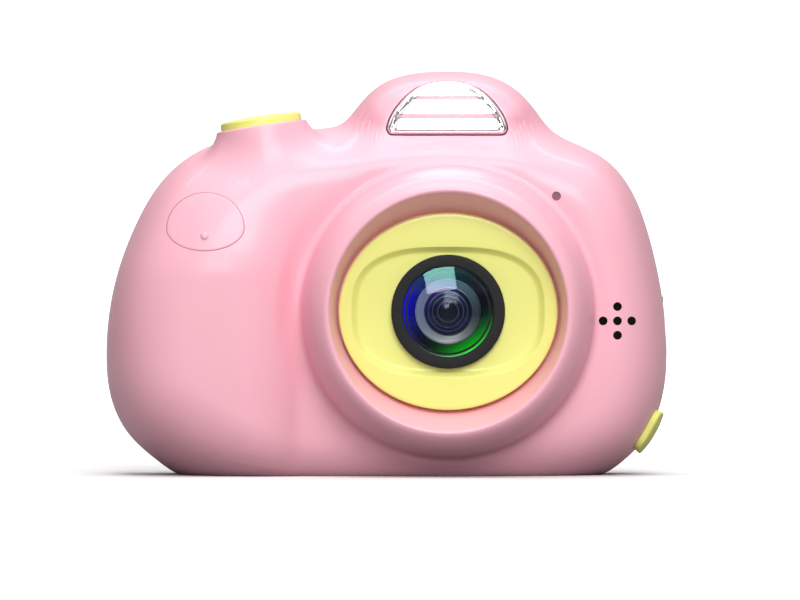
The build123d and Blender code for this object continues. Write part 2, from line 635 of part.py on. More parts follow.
def stem(x, z, y0):
    """The stem that presses a key's switch."""
    return rod(1.3, SWITCH_Y + 1.2, y0, x, z) + rod(0.75, SWITCH_Y + 0.55, SWITCH_Y + 1.3, x, z)


def arrow_key(angle):
    """A quarter of the pad with an arrow cut into its face."""
    top, inner = BACK_Y + KEY_PROUD, BACK_Y - WALL - 0.08
    key = pad_key(0, inner - 0.2, top) + pad_key(KEY_LIP, inner - 0.8, inner)
    reach = (PAD_OUT + PAD_IN) / 2
    key += stem(reach, 0, inner - 0.7)
    arrow = [(reach - 0.9, -1.3), (reach + 1.0, 0), (reach - 0.9, 1.3)]
    key -= outlined(arrow, top - 0.3, top + 1)
    return Pos(PAD_X, 0, PAD_Z) * Rot(0, -angle, 0) * key


def round_key(x, z, r):
    """A round key with a soft edge, a lip and a stem."""
    top, inner = BACK_Y + KEY_PROUD, BACK_Y - WALL - 0.08
    key = turned([
        (0, top), (r - 0.4, top), (r, top - 0.4), (r, inner), (r + KEY_LIP, inner),
        (r + KEY_LIP, inner - 0.6), (0, inner - 0.6),
    ], x, z)  # fmt: skip
    return key + stem(x, z, inner - 0.5)


def key_spots():
    """The middle of every key's switch."""
    reach = (PAD_OUT + PAD_IN) / 2
    spots = [(x, z) for x, z, _ in ROUND_KEYS.values()]
    for angle in ARROW_KEYS.values():
        turn = radians(angle)
        spots.append((PAD_X + reach * cos(turn), PAD_Z + reach * sin(turn)))
    return spots


def key_holes():
    y0, y1 = BACK_Y - WALL - 1, BACK_Y + 3
    holes = [rod(r + RUN, y0, y1, x, z) for x, z, r in ROUND_KEYS.values()]
    for angle in ARROW_KEYS.values():
        holes.append(Pos(PAD_X, 0, PAD_Z) * Rot(0, -angle, 0) * pad_key(RUN, y0, y1))
    return united(holes)


def key_board():
    board = outlined(KEY_BOARD, KEY_BOARD_Y, KEY_BOARD_Y + KEY_BOARD_T)
    for x, z in KEY_POSTS:
        board -= rod(0.8, 0, 20, x, z)
    return board


def key_switches():
    """A small switch with a well for the stem under every key."""
    low, high = SWITCH_Y, SWITCH_Y + SWITCH_H
    return [
        box(x - 1.7, x + 1.7, low, high, z - 1.7, z + 1.7) - rod(0.9, low, high + 1, x, z)
        for x, z in key_spots()
    ]


def key_flex():
    line = [(-22.0, KEY_BOARD_Y - 0.1), (-18.6, KEY_BOARD_Y - 0.1), (-17.2, 7.4), (-17.0, 5.3)]
    face = make_face(strip(line, 0.2).faces()[0].outer_wire())
    return Pos(0, 0, 24) * extrude(face, amount=8)


def display_bezel():
    """The frame round the window, with a ledge behind it."""
    frame = plate(BEZEL_W, BEZEL_H, BEZEL_CORNER, BACK_Y - BEZEL_SEAT, BACK_Y + BEZEL_PROUD,
                  SCREEN_X, SCREEN_Z)
    ledge_y = BACK_Y - BEZEL_SEAT + 0.4
    frame -= plate(GLASS_W + 0.2, GLASS_H + 0.2, 2.6, ledge_y, 20, SCREEN_X, SCREEN_Z)
    return frame - plate(VIEW_W + 2, VIEW_H + 2, 1.6, 0, 20, SCREEN_X, SCREEN_Z)


def display_window():
    y = BACK_Y - BEZEL_SEAT + 0.4
    return plate(GLASS_W, GLASS_H, 2.5, y, y + GLASS_T, SCREEN_X, SCREEN_Z)


def display_panel():
    y = BACK_Y - BEZEL_SEAT
    return plate(PANEL_W, PANEL_H, 0.8, y - 1.5, y - 0.05, SCREEN_X, SCREEN_Z)


def backlight_frame():
    """A tray that carries the panel."""
    y = BACK_Y - BEZEL_SEAT - 1.5
    tray = plate(PANEL_W + 1.2, PANEL_H + 1.2, 1.0, y - 1.7, y + 0.7, SCREEN_X, SCREEN_Z)
    return tray - plate(PANEL_W + 0.1, PANEL_H + 0.1, 0.8, y, y + 3, SCREEN_X, SCREEN_Z)


def display_flex():
    y, z = BACK_Y - BEZEL_SEAT - 3.2, SCREEN_Z - PANEL_H / 2 - 0.6
    behind = BOARD_Y + BOARD_T
    line = [(y - 0.1, z + 6), (y - 0.1, z + 1.5), (y - 1.2, z - 1.0), (behind + 2.0, z - 1.2),
            (behind + 0.5, z), (behind + 0.5, z + 1.4)]  # fmt: skip
    return Pos(4, 0, 0) * extrude(Plane.YZ * strip(line, 0.2), amount=14)


# ---------------------------------------------------------------- boards
def main_board():
    board = outlined(MAIN_BOARD, BOARD_Y, BOARD_Y + BOARD_T)
    for x, z in BOARD_POSTS:
        board -= rod(SMALL_SHANK_R + 0.2, 0, 20, x, z)
    return board


def processor_chip():
    y = BOARD_Y + BOARD_T
    return box(0, 10, y, y + 1.1, 25, 35)


def memory_chips():
    y = BOARD_Y + BOARD_T
    return [box(14, 22, y, y + 0.9, 26, 32), box(14, 19, y, y + 1.3, 36, 42)]


def board_components():
    """Small parts in two rows on the board's front face and a coil on its back."""
    small = [
        box(4 * i - 9, 4 * i - 7, BOARD_Y - 0.9, BOARD_Y, z, z + 1.2)
        for i in range(6)
        for z in (38.0, 42.0)
    ]
    behind = BOARD_Y + BOARD_T
    return small + [box(-10, -5, behind, behind + 2.2, 26, 31), box(-10, -6, behind, behind + 1, 34, 36)]


def board_connectors():
    """Sockets for the camera ribbon, the display ribbon and the battery."""
    behind = BOARD_Y + BOARD_T
    flex_z = SCREEN_Z - PANEL_H / 2 + 0.8
    return [
        box(LENS_X - 4.5, LENS_X + 4.5, BOARD_Y - 1.0, BOARD_Y, 11.5, 14.5),
        box(3, 19, behind, behind + 1.1, flex_z, flex_z + 2.6),
        box(-17, -11, BOARD_Y - 3.0, BOARD_Y, 43.5, 46.5),
    ]


def status_led():
    y = BOARD_Y + BOARD_T
    return box(LIGHT_X - 0.8, LIGHT_X + 0.8, y, y + 0.7, LIGHT_Z - 0.5, LIGHT_Z + 0.5)


def status_light():
    """The light guide through the back."""
    y = BOARD_Y + BOARD_T + 0.9
    guide = rod(LIGHT_R, y, BACK_Y + 0.1, LIGHT_X, LIGHT_Z)
    return guide + rod(LIGHT_R + 0.6, BACK_Y - WALL - 1.1, BACK_Y - WALL - 0.3, LIGHT_X, LIGHT_Z)


def battery():
    (x0, x1), (y0, y1), (z0, z1) = BATTERY
    pouch = Pos((x0 + x1) / 2, (y0 + y1) / 2, (z0 + z1) / 2) * Box(x1 - x0, y1 - y0, z1 - z0)
    return fillet(pouch.edges().filter_by(Axis.Z), 2.5)


def battery_leads():
    top = BATTERY[2][1]
    return united([
        lead([(x, -6, top + 0.3), (x, -5.6, top + 1.5), (-20, -3, z), (-15, BOARD_Y - 3.2, z)], 0.5)
        for x, z in ((-23.0, 44.2), (-25.2, 45.8))
    ])  # fmt: skip


# ---------------------------------------------------------------- fixings
def cross(y0, y1, x, z, size):
    """The cross in a screw's head."""
    arm = size / 4
    flat = box(x - size, x + size, y0, y1, z - arm, z + arm)
    return flat + box(x - arm, x + arm, y0, y1, z - size, z + size)


def screw(x, z, head_y, shank, head_r, head_h, length):
    """A screw driven toward -Y."""
    body = rod(head_r, head_y, head_y + head_h, x, z) + rod(shank, head_y - length, head_y, x, z)
    return body - cross(head_y + head_h / 2, head_y + head_h + 1, x, z, head_r * 0.55)


def casing_screws():
    return [screw(x, z, HEAD_Y, SHANK_R, HEAD_R, HEAD_H, 11.0) for x, z in BOSSES]


def board_screws():
    y = BOARD_Y + BOARD_T
    return [screw(x, z, y, SMALL_SHANK_R, SMALL_HEAD_R, SMALL_HEAD_H, 5.5) for x, z in BOARD_POSTS]


def key_board_screws():
    """Screws that hold the key board to the rear casing, driven toward +Y."""
    y = KEY_BOARD_Y
    return [rod(1.2, y - 0.7, y, x, z) + rod(0.6, y, y + 3.0, x, z) for x, z in KEY_POSTS]


# ---------------------------------------------------------------- the two casings
def front_casing():
    shell = above(FRONT_FORM, 0) + surround() + plinth()
    shell -= FRONT_CAVITY - plinth()
    shell -= rod(HOLLOW_R, FLOOR_BACK_Y, -11.5, LENS_X, LENS_Z)
    shell += tube(COLLAR_R, BARREL_R + 0.4, FLOOR_BACK_Y - 0.5, COLLAR_Y, LENS_X, LENS_Z)
    inside = [rod(BOSS_R, -20, PART_Y, x, z) for x, z in BOSSES]
    inside += [rod(POST_R, -20, BOARD_Y, x, z) for x, z in BOARD_POSTS]
    inside.append(rod(4.2, -20, SPEAKER_Y - 0.4, HOLES_X, HOLES_Z))
    inside.append(rod(2.3, -20, MIC_Y - 1.2, MIC_X, MIC_Z))
    x0, x1 = BATTERY[0]
    inside += [box(x0 - 4, x1, -20, BATTERY[1][0] - 0.05, z, z + 1.2) for z in (17.0, 34.0)]
    shell += united(inside) & above(FRONT_FORM, 0)
    shell -= rod(3.5, -12.4, SPEAKER_Y, HOLES_X, HOLES_Z) + speaker_holes()
    shell -= rod(0.75, -20, MIC_Y, MIC_X, MIC_Z)
    shell -= plinth_bore() + lens_recess() + trim_seat() + inlay_seat()
    shell -= rod(BARREL_R + 0.1, -20, -10, LENS_X, LENS_Z)
    for x, z in BOSSES:
        shell -= rod(SHANK_R + 0.03, -1.2, PART_Y + 1, x, z)
    for x, z in BOARD_POSTS:
        shell -= rod(SMALL_SHANK_R + 0.03, -2.0, BOARD_Y + 1, x, z)
    shell -= port_hole() + card_notch() + strap_window()
    seam = outline_prism(TONGUE[0] - 0.08, SEAM[0] - 0.1, PART_Y + 1)
    return shell - (seam - united([rod(BOSS_R, -20, 20, x, z) for x, z in BOSSES]))


def rear_casing():
    shell = above(BACK_FORM, 0) - BACK_CAVITY
    posts = [rod(BOSS_R, PART_Y, 20, x, z) for x, z in BOSSES]
    posts += [rod(1.7, KEY_BOARD_Y + KEY_BOARD_T, 20, x, z) for x, z in KEY_POSTS]
    shell += united(posts) & above(BACK_FORM, 0)
    tongue = outline_prism(TONGUE[0], SEAM[0], PART_Y + 0.5)
    tongue -= outline_prism(TONGUE[1], SEAM[0] - 1, PART_Y + 2)
    tongue -= united([rod(BOSS_R + 0.1, -20, PART_Y, x, z) for x, z in BOSSES])
    shell += tongue
    seat = BEZEL_W + 2 * FIT, BEZEL_H + 2 * FIT, BEZEL_CORNER + FIT
    shell -= plate(*seat, BACK_Y - BEZEL_SEAT, 20, SCREEN_X, SCREEN_Z)
    shell -= plate(WELL_W, WELL_H, 3, 5, 20, SCREEN_X, SCREEN_Z)
    shell -= key_holes() + strap_window()
    shell -= rod(LIGHT_R + 0.08, 0, 20, LIGHT_X, LIGHT_Z)
    for x, z in BOSSES:
        shell -= rod(SHANK_R + 0.2, 0, 12, x, z) + rod(HEAD_R + 0.2, HEAD_Y, 20, x, z)
    for x, z in KEY_POSTS:
        shell -= rod(0.62, 0, KEY_BOARD_Y + 3.6, x, z)
    return shell


PARTS = {
    "front_casing": front_casing, "rear_casing": rear_casing, "lens_bezel": lens_bezel,
    "lens_ring": lens_ring, "lens_barrel": lens_barrel, "lens_holder": lens_holder,
    "camera_board": camera_board, "image_sensor": image_sensor, "camera_flex": camera_flex,
    "flash_trim": flash_trim, "grip_inlay": grip_inlay, "speaker_frame": speaker_frame,
    "speaker_cone": speaker_cone, "speaker_magnet": speaker_magnet,
    "speaker_gasket": speaker_gasket, "speaker_leads": speaker_leads, "microphone": microphone,
    "microphone_boot": microphone_boot, "shutter_button": shutter_button,
    "shutter_switch": shutter_switch, "shutter_board": shutter_board, "usb_socket": usb_socket,
    "usb_board": usb_board, "port_cover": port_cover, "memory_card": memory_card,
    "card_socket": card_socket, "strap_plate": strap_plate, "key_board": key_board,
    "key_switches": key_switches, "key_flex": key_flex, "display_bezel": display_bezel,
    "display_window": display_window, "display_panel": display_panel,
    "backlight_frame": backlight_frame, "display_flex": display_flex, "main_board": main_board,
    "processor_chip": processor_chip, "memory_chips": memory_chips,
    "board_components": board_components, "board_connectors": board_connectors,
    "status_led": status_led, "status_light": status_light, "battery": battery,
    "battery_leads": battery_leads, "casing_screws": casing_screws,
    "board_screws": board_screws, "key_board_screws": key_board_screws,
}  # fmt: skip

solids = {name: make() for name, make in PARTS.items()}
solids["lens_window"] = round_lens(WINDOW_R - 0.05, WINDOW_Y, WINDOW_BACK_Y, WINDOW_DOME, 0)
solids["front_element"] = round_lens(4.0, -17.0, -16.4, 0.9, 0.0)
solids["middle_element"] = round_lens(4.15, -15.6, -14.9, 0.6, 0.5)
solids["aperture_disc"] = tube(4.15, 1.2, -14.3, -14.05, LENS_X, LENS_Z)
solids["rear_element"] = round_lens(3.55, -12.0, -10.9, 0.5, 0.7)
for name, (x, z, r) in ROUND_KEYS.items():
    solids[name] = round_key(x, z, r)
for name, angle in ARROW_KEYS.items():
    solids[name] = arrow_key(angle)

os.makedirs("parts", exist_ok=True)
for name, shape in solids.items():
    if isinstance(shape, list):
        shape = Compound(children=[s for piece in shape for s in piece.solids()])
    export_step(shape, f"parts/{name}.step")
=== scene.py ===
import json
from math import cos, pi, radians, sin, sqrt

import bmesh
import bpy
import numpy as np
from mathutils import Matrix, Vector

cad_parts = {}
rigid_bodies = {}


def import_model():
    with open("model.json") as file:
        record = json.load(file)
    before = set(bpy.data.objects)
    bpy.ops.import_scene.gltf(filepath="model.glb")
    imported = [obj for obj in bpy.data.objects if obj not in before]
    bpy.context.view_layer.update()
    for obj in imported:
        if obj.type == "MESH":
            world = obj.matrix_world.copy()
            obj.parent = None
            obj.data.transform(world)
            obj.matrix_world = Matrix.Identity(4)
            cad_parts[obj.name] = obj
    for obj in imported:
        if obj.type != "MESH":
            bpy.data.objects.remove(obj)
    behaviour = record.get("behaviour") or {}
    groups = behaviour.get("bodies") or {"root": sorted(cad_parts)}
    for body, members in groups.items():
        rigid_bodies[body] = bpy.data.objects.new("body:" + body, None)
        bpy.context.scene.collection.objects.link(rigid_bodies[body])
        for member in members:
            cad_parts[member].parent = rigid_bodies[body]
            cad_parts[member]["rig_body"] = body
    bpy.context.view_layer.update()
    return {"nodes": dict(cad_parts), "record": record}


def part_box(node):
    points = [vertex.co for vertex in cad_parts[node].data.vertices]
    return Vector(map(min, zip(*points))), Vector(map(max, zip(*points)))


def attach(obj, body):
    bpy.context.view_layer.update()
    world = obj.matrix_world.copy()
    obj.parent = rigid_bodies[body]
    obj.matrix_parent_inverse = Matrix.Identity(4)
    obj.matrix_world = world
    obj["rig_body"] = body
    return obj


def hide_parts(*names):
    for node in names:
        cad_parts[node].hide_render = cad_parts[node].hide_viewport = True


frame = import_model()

MM = 0.001
BODY = "camera"


# ---------------------------------------------------------------- places, in millimetres
def span(node):
    """Lowest and highest corner of a CAD node, in millimetres."""
    low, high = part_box(node)
    return np.array(low) / MM, np.array(high) / MM


def middle(node):
    """The middle of a CAD node's box, in millimetres."""
    low, high = span(node)
    return (low + high) / 2


LENS = middle("lens_ring")
LX, LZ = LENS[0], LENS[2]
PART = span("rear_casing")[0][1] + 1.2
BACK = span("power_button")[1][1] - 1.0
FINE = 2
RAYS = 240 * FINE
EDGE_POWER = 2.3  # squareness of the casing's rounded edge
WALL = 2.0
SMALLEST = 0.004  # radius of a lathe's ring on its axis

# The casing's silhouette in X and Z, from its foot up the grip, over the hump and back.
OUTLINE = [
    (-34.6, -0.9), (-41.2, 3.2), (-44.9, 6.7), (-48.3, 13.7), (-49.0, 21.5), (-47.65, 32.8),
    (-44.0, 43.3), (-38.6, 52.0), (-31.4, 57.2), (-21.0, 59.8), (-12.0, 60.4), (-7.9, 61.3),
    (-5.1, 64.2), (-1.6, 67.7), (3.5, 69.8), (10.3, 70.4), (17.1, 69.8), (22.1, 67.6),
    (25.6, 64.2), (28.4, 60.6), (32.6, 58.0), (38.0, 55.2), (42.4, 50.3), (45.9, 41.6),
    (48.2, 31.1), (49.0, 21.5), (48.3, 13.7), (45.0, 6.0), (40.0, 1.3), (33.0, -1.9),
    (20.0, -4.0), (0.0, -4.5), (-20.0, -3.9),
]


# ---------------------------------------------------------------- the casing's form
def smooth(low, high, value):
    """A soft step from 0 at low to 1 at high."""
    t = np.clip((value - low) / (high - low), 0, 1)
    return t * t * (3 - 2 * t)


def round_curve(knots, values, at):
    """A cubic curve through values at the angles knots, closed over a full turn."""
    count = len(knots)
    ends = np.append(knots, knots[0] + 2 * pi)
    gap = np.diff(ends)
    system, right = np.zeros((count, count)), np.zeros(count)
    for i in range(count):
        before, after, following = gap[i - 1], gap[i], (i + 1) % count
        system[i, i - 1] += before
        system[i, i] += 2 * (before + after)
        system[i, following] += after
        slope_after = (values[following] - values[i]) / after
        slope_before = (values[i] - values[i - 1]) / before
        right[i] = 6 * (slope_after - slope_before)
    bend = np.linalg.solve(system, right)
    bend, level = np.append(bend, bend[0]), np.append(values, values[0])
    at = (at - knots[0]) % (2 * pi) + knots[0]
    i = np.clip(np.searchsorted(ends, at, side="right") - 1, 0, count - 1)
    a = (ends[i + 1] - at) / gap[i]
    b = 1 - a
    curve = ((a**3 - a) * bend[i] + (b**3 - b) * bend[i + 1]) * gap[i] ** 2 / 6
    return a * level[i] + b * level[i + 1] + curve


def outline(rays):
    """Points round the casing in X and Z, the inward direction at each, and rays from the lens."""
    from_lens = np.array(OUTLINE) - (LX, LZ)
    angle = np.arctan2(from_lens[:, 1], from_lens[:, 0]) % (2 * pi)
    order = np.argsort(angle)
    turn = np.arange(rays) * 2 * pi / rays
    reach = round_curve(angle[order], np.hypot(*from_lens.T)[order], turn)
    ray = np.stack([np.cos(turn), np.sin(turn)], 1)
    points = np.array([LX, LZ]) + ray * reach[:, None]
    along = np.roll(points, -1, 0) - np.roll(points, 1, 0)
    along /= np.linalg.norm(along, axis=1)[:, None]
    return points, np.stack([-along[:, 1], along[:, 0]], 1), ray


def front_depth(x, z):
    """How far the casing's front stands in front of Y 0, away from its rounded edge."""
    depth = 14.5 - 0.0010 * (z - 26) ** 2
    crease_x = -15.3 - 3 * smooth(38, 56, z)
    softness = 0.06 + 0.5 * smooth(36, 56, z)
    u = (crease_x - x) / 15
    u = np.minimum(0.5 * (u + np.sqrt(u * u + softness**2)), 1)
    depth = depth + 5.2 * (1 - (1 - u) ** 3.2) * (1 - 0.8 * smooth(34, 60, z))
    depth = depth - 4.8 * smooth(53, 61, z)
    near_lens = 1 - smooth(24.2, 30, np.hypot(x - LX, z - LZ))
    return depth * (1 - near_lens) + 14.0 * near_lens


def back_depth(z):
    """How far the casing's back stands behind Y 0; the hump is thinner."""
    return BACK - 3.5 * smooth(53, 61, z)


RIM, INWARD, RAY = outline(RAYS)
FRONT_EDGE = 15.0 - 4.5 * smooth(-36, -10, RIM[:, 0]) - 5.0 * smooth(60.5, 66, RIM[:, 1])
BACK_EDGE = 8.5 - 3.0 * smooth(60.5, 66, RIM[:, 1])
FACING = np.maximum(-(INWARD * RAY).sum(1), 0.4)


def inset_ring(inset):
    """The outline moved in by a distance, each point along its ray to the lens."""
    return RIM - RAY * (inset / FACING)[:, None]


def oval(a, b=None):
    """Points in X and Z on an oval round the lens, one on each ray."""
    return np.array([LX, LZ]) + RAY * (a, b or a)


def height(points, front, inset=0.0):
    """The casing's Y at points in X and Z, from their distance to the outline."""
    flat = points.reshape(-1, 2)
    y = np.empty(len(flat))
    edges = FRONT_EDGE if front else BACK_EDGE
    for start in range(0, len(flat), 4000):
        part = flat[start : start + 4000]
        gap = np.linalg.norm(part[:, None] - RIM[None], axis=2)
        near = gap.argmin(1)
        d = np.maximum(((part - RIM[near]) * INWARD[near]).sum(1) - inset, 0)
        edge = edges[near] - inset
        cosine = np.clip(1 - d / edge, 0, 1) ** (EDGE_POWER / 2)
        share = np.sqrt(1 - cosine**2) ** (2 / EDGE_POWER)
        if front:
            reach = -(front_depth(part[:, 0], part[:, 1]) - inset) - PART
        else:
            reach = back_depth(part[:, 1]) - inset - PART
        y[start : start + 4000] = PART + reach * share
    return y.reshape(points.shape[:-1])


def ring3(flat, y):
    """Points in X and Z set at a Y, or each at its own."""
    return np.stack([flat[:, 0], np.broadcast_to(y, len(flat)), flat[:, 1]], 1)


def floored(ring, z, soft=0.45):
    """Points below a level, lifted onto it with a small rounded edge."""
    out = ring.copy()
    lift = out[:, 2] - z
    out[:, 2] = z + 0.5 * (lift + np.sqrt(lift**2 + soft**2)) - soft / 2 * np.exp(-(lift**2) / 4)
    return out


# ---------------------------------------------------------------- making pieces
def piece(name, points, faces, material, body=BODY, slot=None, node=None, angle=35):
    """A mesh in millimetres as an object that rides on a CAD body."""
    mesh = bpy.data.meshes.new(name)
    mesh.from_pydata([tuple(p) for p in np.asarray(points) * MM], [], faces)
    mesh.validate()
    thing = bpy.data.objects.new(name, mesh)
    bpy.context.scene.collection.objects.link(thing)
    return dress(thing, material, body, node, angle)


def dress(thing, material, body=None, node=None, angle=35):
    """Shades a thing, gives it its material, and its body and replaced node if it has them."""
    smooth_by(thing.data, angle)
    if material:
        thing.data.materials.clear()
        thing.data.materials.append(material)
    if body:
        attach(thing, body)
    if node:
        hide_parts(node)
    return thing


def smooth_by(mesh, angle):
    """Smooth shading everywhere but across edges sharper than an angle."""
    work = bmesh.new()
    work.from_mesh(mesh)
    bmesh.ops.recalc_face_normals(work, faces=work.faces)
    limit = radians(angle)
    for face in work.faces:
        face.smooth = True
    for edge in work.edges:
        edge.smooth = len(edge.link_faces) == 2 and edge.calc_face_angle(0) < limit
    work.to_mesh(mesh)
    work.free()


def quads(rows, columns, wrap_rows=False):
    """Faces of a grid that closes on itself along its columns."""
    steps = np.arange(rows if wrap_rows else rows - 1)
    i, k = np.meshgrid(steps, np.arange(columns), indexing="ij")
    here, below, side = i * columns, (i + 1) % rows * columns, (k + 1) % columns
    return np.stack([here + k, here + side, below + side, below + k], -1).reshape(-1, 4).tolist()


def rings(name, sections, material, wrap=True, **rest):
    """A closed skin through rings of points; without wrap its ends are capped."""
    grid = np.array(sections)
    rows, columns = grid.shape[:2]
    faces = quads(rows, columns, wrap)
    if not wrap:
        faces.append(list(range(columns))[::-1])
        faces.append([(rows - 1) * columns + k for k in range(columns)])
    return piece(name, grid.reshape(-1, 3), faces, material, **rest)


def rounded(profile):
    """A polygon of (a, b, radius) corners with each corner turned into an arc."""
    points, count = [], len(profile)
    for i, (a, b, radius) in enumerate(profile):
        here = np.array([a, b], float)
        if not radius:
            points.append(here)
            continue
        before = np.array(profile[i - 1][:2]) - here
        after = np.array(profile[(i + 1) % count][:2]) - here
        reach = min(radius, np.linalg.norm(before) * 0.49, np.linalg.norm(after) * 0.49)
        p = here + before / np.linalg.norm(before) * reach
        q = here + after / np.linalg.norm(after) * reach
        for t in np.linspace(0, 1, 7):
            points.append((1 - t) ** 2 * p + 2 * t * (1 - t) * here + t**2 * q)
    return points


def lathe(name, profile, material, place=(LX, 0, LZ), turns=128, **rest):
    """A closed (radius, Y, corner radius) profile turned round Y at place, a 4x4 or a point."""
    turn = np.arange(turns) * 2 * pi / turns
    sections = []
    for r, y in rounded(profile):
        r = max(r, SMALLEST)
        sections.append(np.stack([r * np.cos(turn), np.full(turns, y), r * np.sin(turn)], 1))
    grid = np.array(sections)
    if isinstance(place, Matrix):
        m = np.array(place)
        grid = grid @ m[:3, :3].T + m[:3, 3]
    else:
        grid = grid + np.array(place)
    return rings(name, grid, material, **rest)


def cut(thing, tools):
    """Takes the tools out of a thing with exact booleans, and drops them."""
    for tool in tools:
        change = thing.modifiers.new("cut", "BOOLEAN")
        change.operation, change.solver = "DIFFERENCE", "EXACT"
        change.object = tool
        graph = bpy.context.evaluated_depsgraph_get()
        mesh = bpy.data.meshes.new_from_object(thing.evaluated_get(graph))
        thing.modifiers.clear()
        thing.data = mesh
        bpy.data.objects.remove(tool)
    return thing


def prism(flat, y0, y1):
    """A closed tool between two Y planes through points in X and Z."""
    flat = np.array(flat)
    return rings("tool", [ring3(flat, y0), ring3(flat, y1)], None, wrap=False, body=None)


def disc(x, z, r, y0, y1, turns=48):
    """A round tool between two Y planes."""
    turn = np.arange(turns) * 2 * pi / turns
    return prism(np.stack([x + r * np.cos(turn), z + r * np.sin(turn)], 1), y0, y1)


def refined(node, material, bevel=0.12):
    """A CAD node's mesh, welded, with softened edges."""
    source = frame["nodes"][node]
    mesh = source.data.copy()
    work = bmesh.new()
    work.from_mesh(mesh)
    bmesh.ops.remove_doubles(work, verts=work.verts, dist=2e-6)
    bmesh.ops.dissolve_limit(
        work, angle_limit=radians(1.0), verts=work.verts, edges=work.edges, delimit={"NORMAL"}
    )
    sharp = [e for e in work.edges if len(e.link_faces) == 2 and e.calc_face_angle(0) > radians(30)]
    bmesh.ops.bevel(
        work, geom=sharp, offset=bevel * MM, segments=3, profile=0.5, affect="EDGES",
        clamp_overlap=True,
    )
    work.to_mesh(mesh)
    work.free()
    mesh.validate()
    thing = bpy.data.objects.new("fine_" + node, mesh)
    bpy.context.scene.collection.objects.link(thing)
    return dress(thing, material, source["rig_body"], node)


# ---------------------------------------------------------------- materials
def feed(tree, node, inputs):
    """Gives each named input of a node a value, or a link from another node's socket."""
    for key, value in inputs.items():
        if isinstance(value, bpy.types.NodeSocket):
            tree.links.new(value, node.inputs[key])
        else:
            node.inputs[key].default_value = value


def add(tree, kind, inputs=None, **settings):
    """A new shader node with its settings and its inputs."""
    node = tree.nodes.new("ShaderNode" + kind)
    for key, value in settings.items():
        setattr(node, key, value)
    feed(tree, node, inputs or {})
    return node


def blank(name):
    """A new material, its node tree and the tree's shader."""
    material = bpy.data.materials.new(name)
    material.use_nodes = True
    return material, material.node_tree, material.node_tree.nodes["Principled BSDF"]


def object_place(tree):
    return add(tree, "TexCoord").outputs["Object"]


def offset_from(tree, x, z):
    """The way from a point in X and Z, in the object's own coordinates."""
    inputs = {0: object_place(tree), 1: (x * MM, 0, z * MM)}
    return add(tree, "VectorMath", inputs, operation="SUBTRACT").outputs["Vector"]


def surface(name, colour, rough=0.4, metal=0.0, grain=600, bump=0.0, tint=0.04, coat=0.0,
            wear=0.06, spec=0.5):
    """A solid material with its own cloudiness, fine grain and uneven gloss."""
    material, tree, shader = blank(name)
    place = object_place(tree)
    cloud = add(tree, "TexNoise", {"Vector": place, "Scale": 38, "Detail": 4}).outputs["Fac"]
    fine = add(tree, "TexNoise", {"Vector": place, "Scale": grain, "Detail": 3}).outputs["Fac"]
    ramp = add(tree, "ValToRGB", {"Fac": cloud})
    stops = zip(ramp.color_ramp.elements, (0.3, 0.7), (1 - tint, 1 + tint))
    for stop, position, share in stops:
        stop.position = position
        stop.color = (*[min(c * share, 1) for c in colour], 1)
    levels = {"Value": cloud, "To Min": max(rough - wear, 0.02), "To Max": rough + wear}
    feed(tree, shader, {
        "Base Color": ramp.outputs["Color"],
        "Roughness": add(tree, "MapRange", levels).outputs["Result"],
        "Metallic": metal, "Coat Weight": coat, "Specular IOR Level": spec,
    })
    if bump:
        relief = add(tree, "Bump", {"Height": fine, "Strength": bump, "Distance": 0.05 * MM})
        feed(tree, shader, {"Normal": relief.outputs["Normal"]})
    return material


def mixed(tree, share, first, second):
    """Shows a mix of two shaders as the material's surface."""
    mix = add(tree, "MixShader", {"Fac": share, 1: first, 2: second})
    feed(tree, tree.nodes["Material Output"], {"Surface": mix.outputs["Shader"]})


def see_through(name, tint, reflect=1.0, rough=0.01, tones=None):
    """Clear glass: it lets light straight through and reflects more at a slant. Tones colour
    what it reflects, from the lens's middle up to its top."""
    material, tree, shader = blank(name)
    tree.nodes.remove(shader)
    place = object_place(tree)
    smudge = add(tree, "TexNoise", {"Vector": place, "Scale": 150}).outputs["Fac"]
    gloss = add(tree, "MapRange", {"Value": smudge, "To Min": rough, "To Max": rough * 3})
    shine = add(tree, "BsdfGlossy", {"Roughness": gloss.outputs["Result"]})
    if tones:
        height_up = add(tree, "SeparateXYZ", {"Vector": place}).outputs["Z"]
        limits = {"Value": height_up, "From Min": (LZ + 2.5) * MM, "From Max": (LZ + 7.7) * MM}
        ramp = add(tree, "ValToRGB", {"Fac": add(tree, "MapRange", limits).outputs["Result"]})
        stops = ramp.color_ramp.elements
        stops[0].color, stops[1].color = (*tones[0], 1), (*tones[-1], 1)
        for i, tone in enumerate(tones[1:-1], 1):
            stops.new(i / (len(tones) - 1)).color = (*tone, 1)
        feed(tree, shine, {"Color": ramp.outputs["Color"]})
    slant = add(tree, "Fresnel", {"IOR": 1.0 + 0.52 * reflect}).outputs["Fac"]
    clear = add(tree, "BsdfTransparent", {"Color": (*tint, 1)})
    mixed(tree, slant, clear.outputs["BSDF"], shine.outputs["BSDF"])
    return material


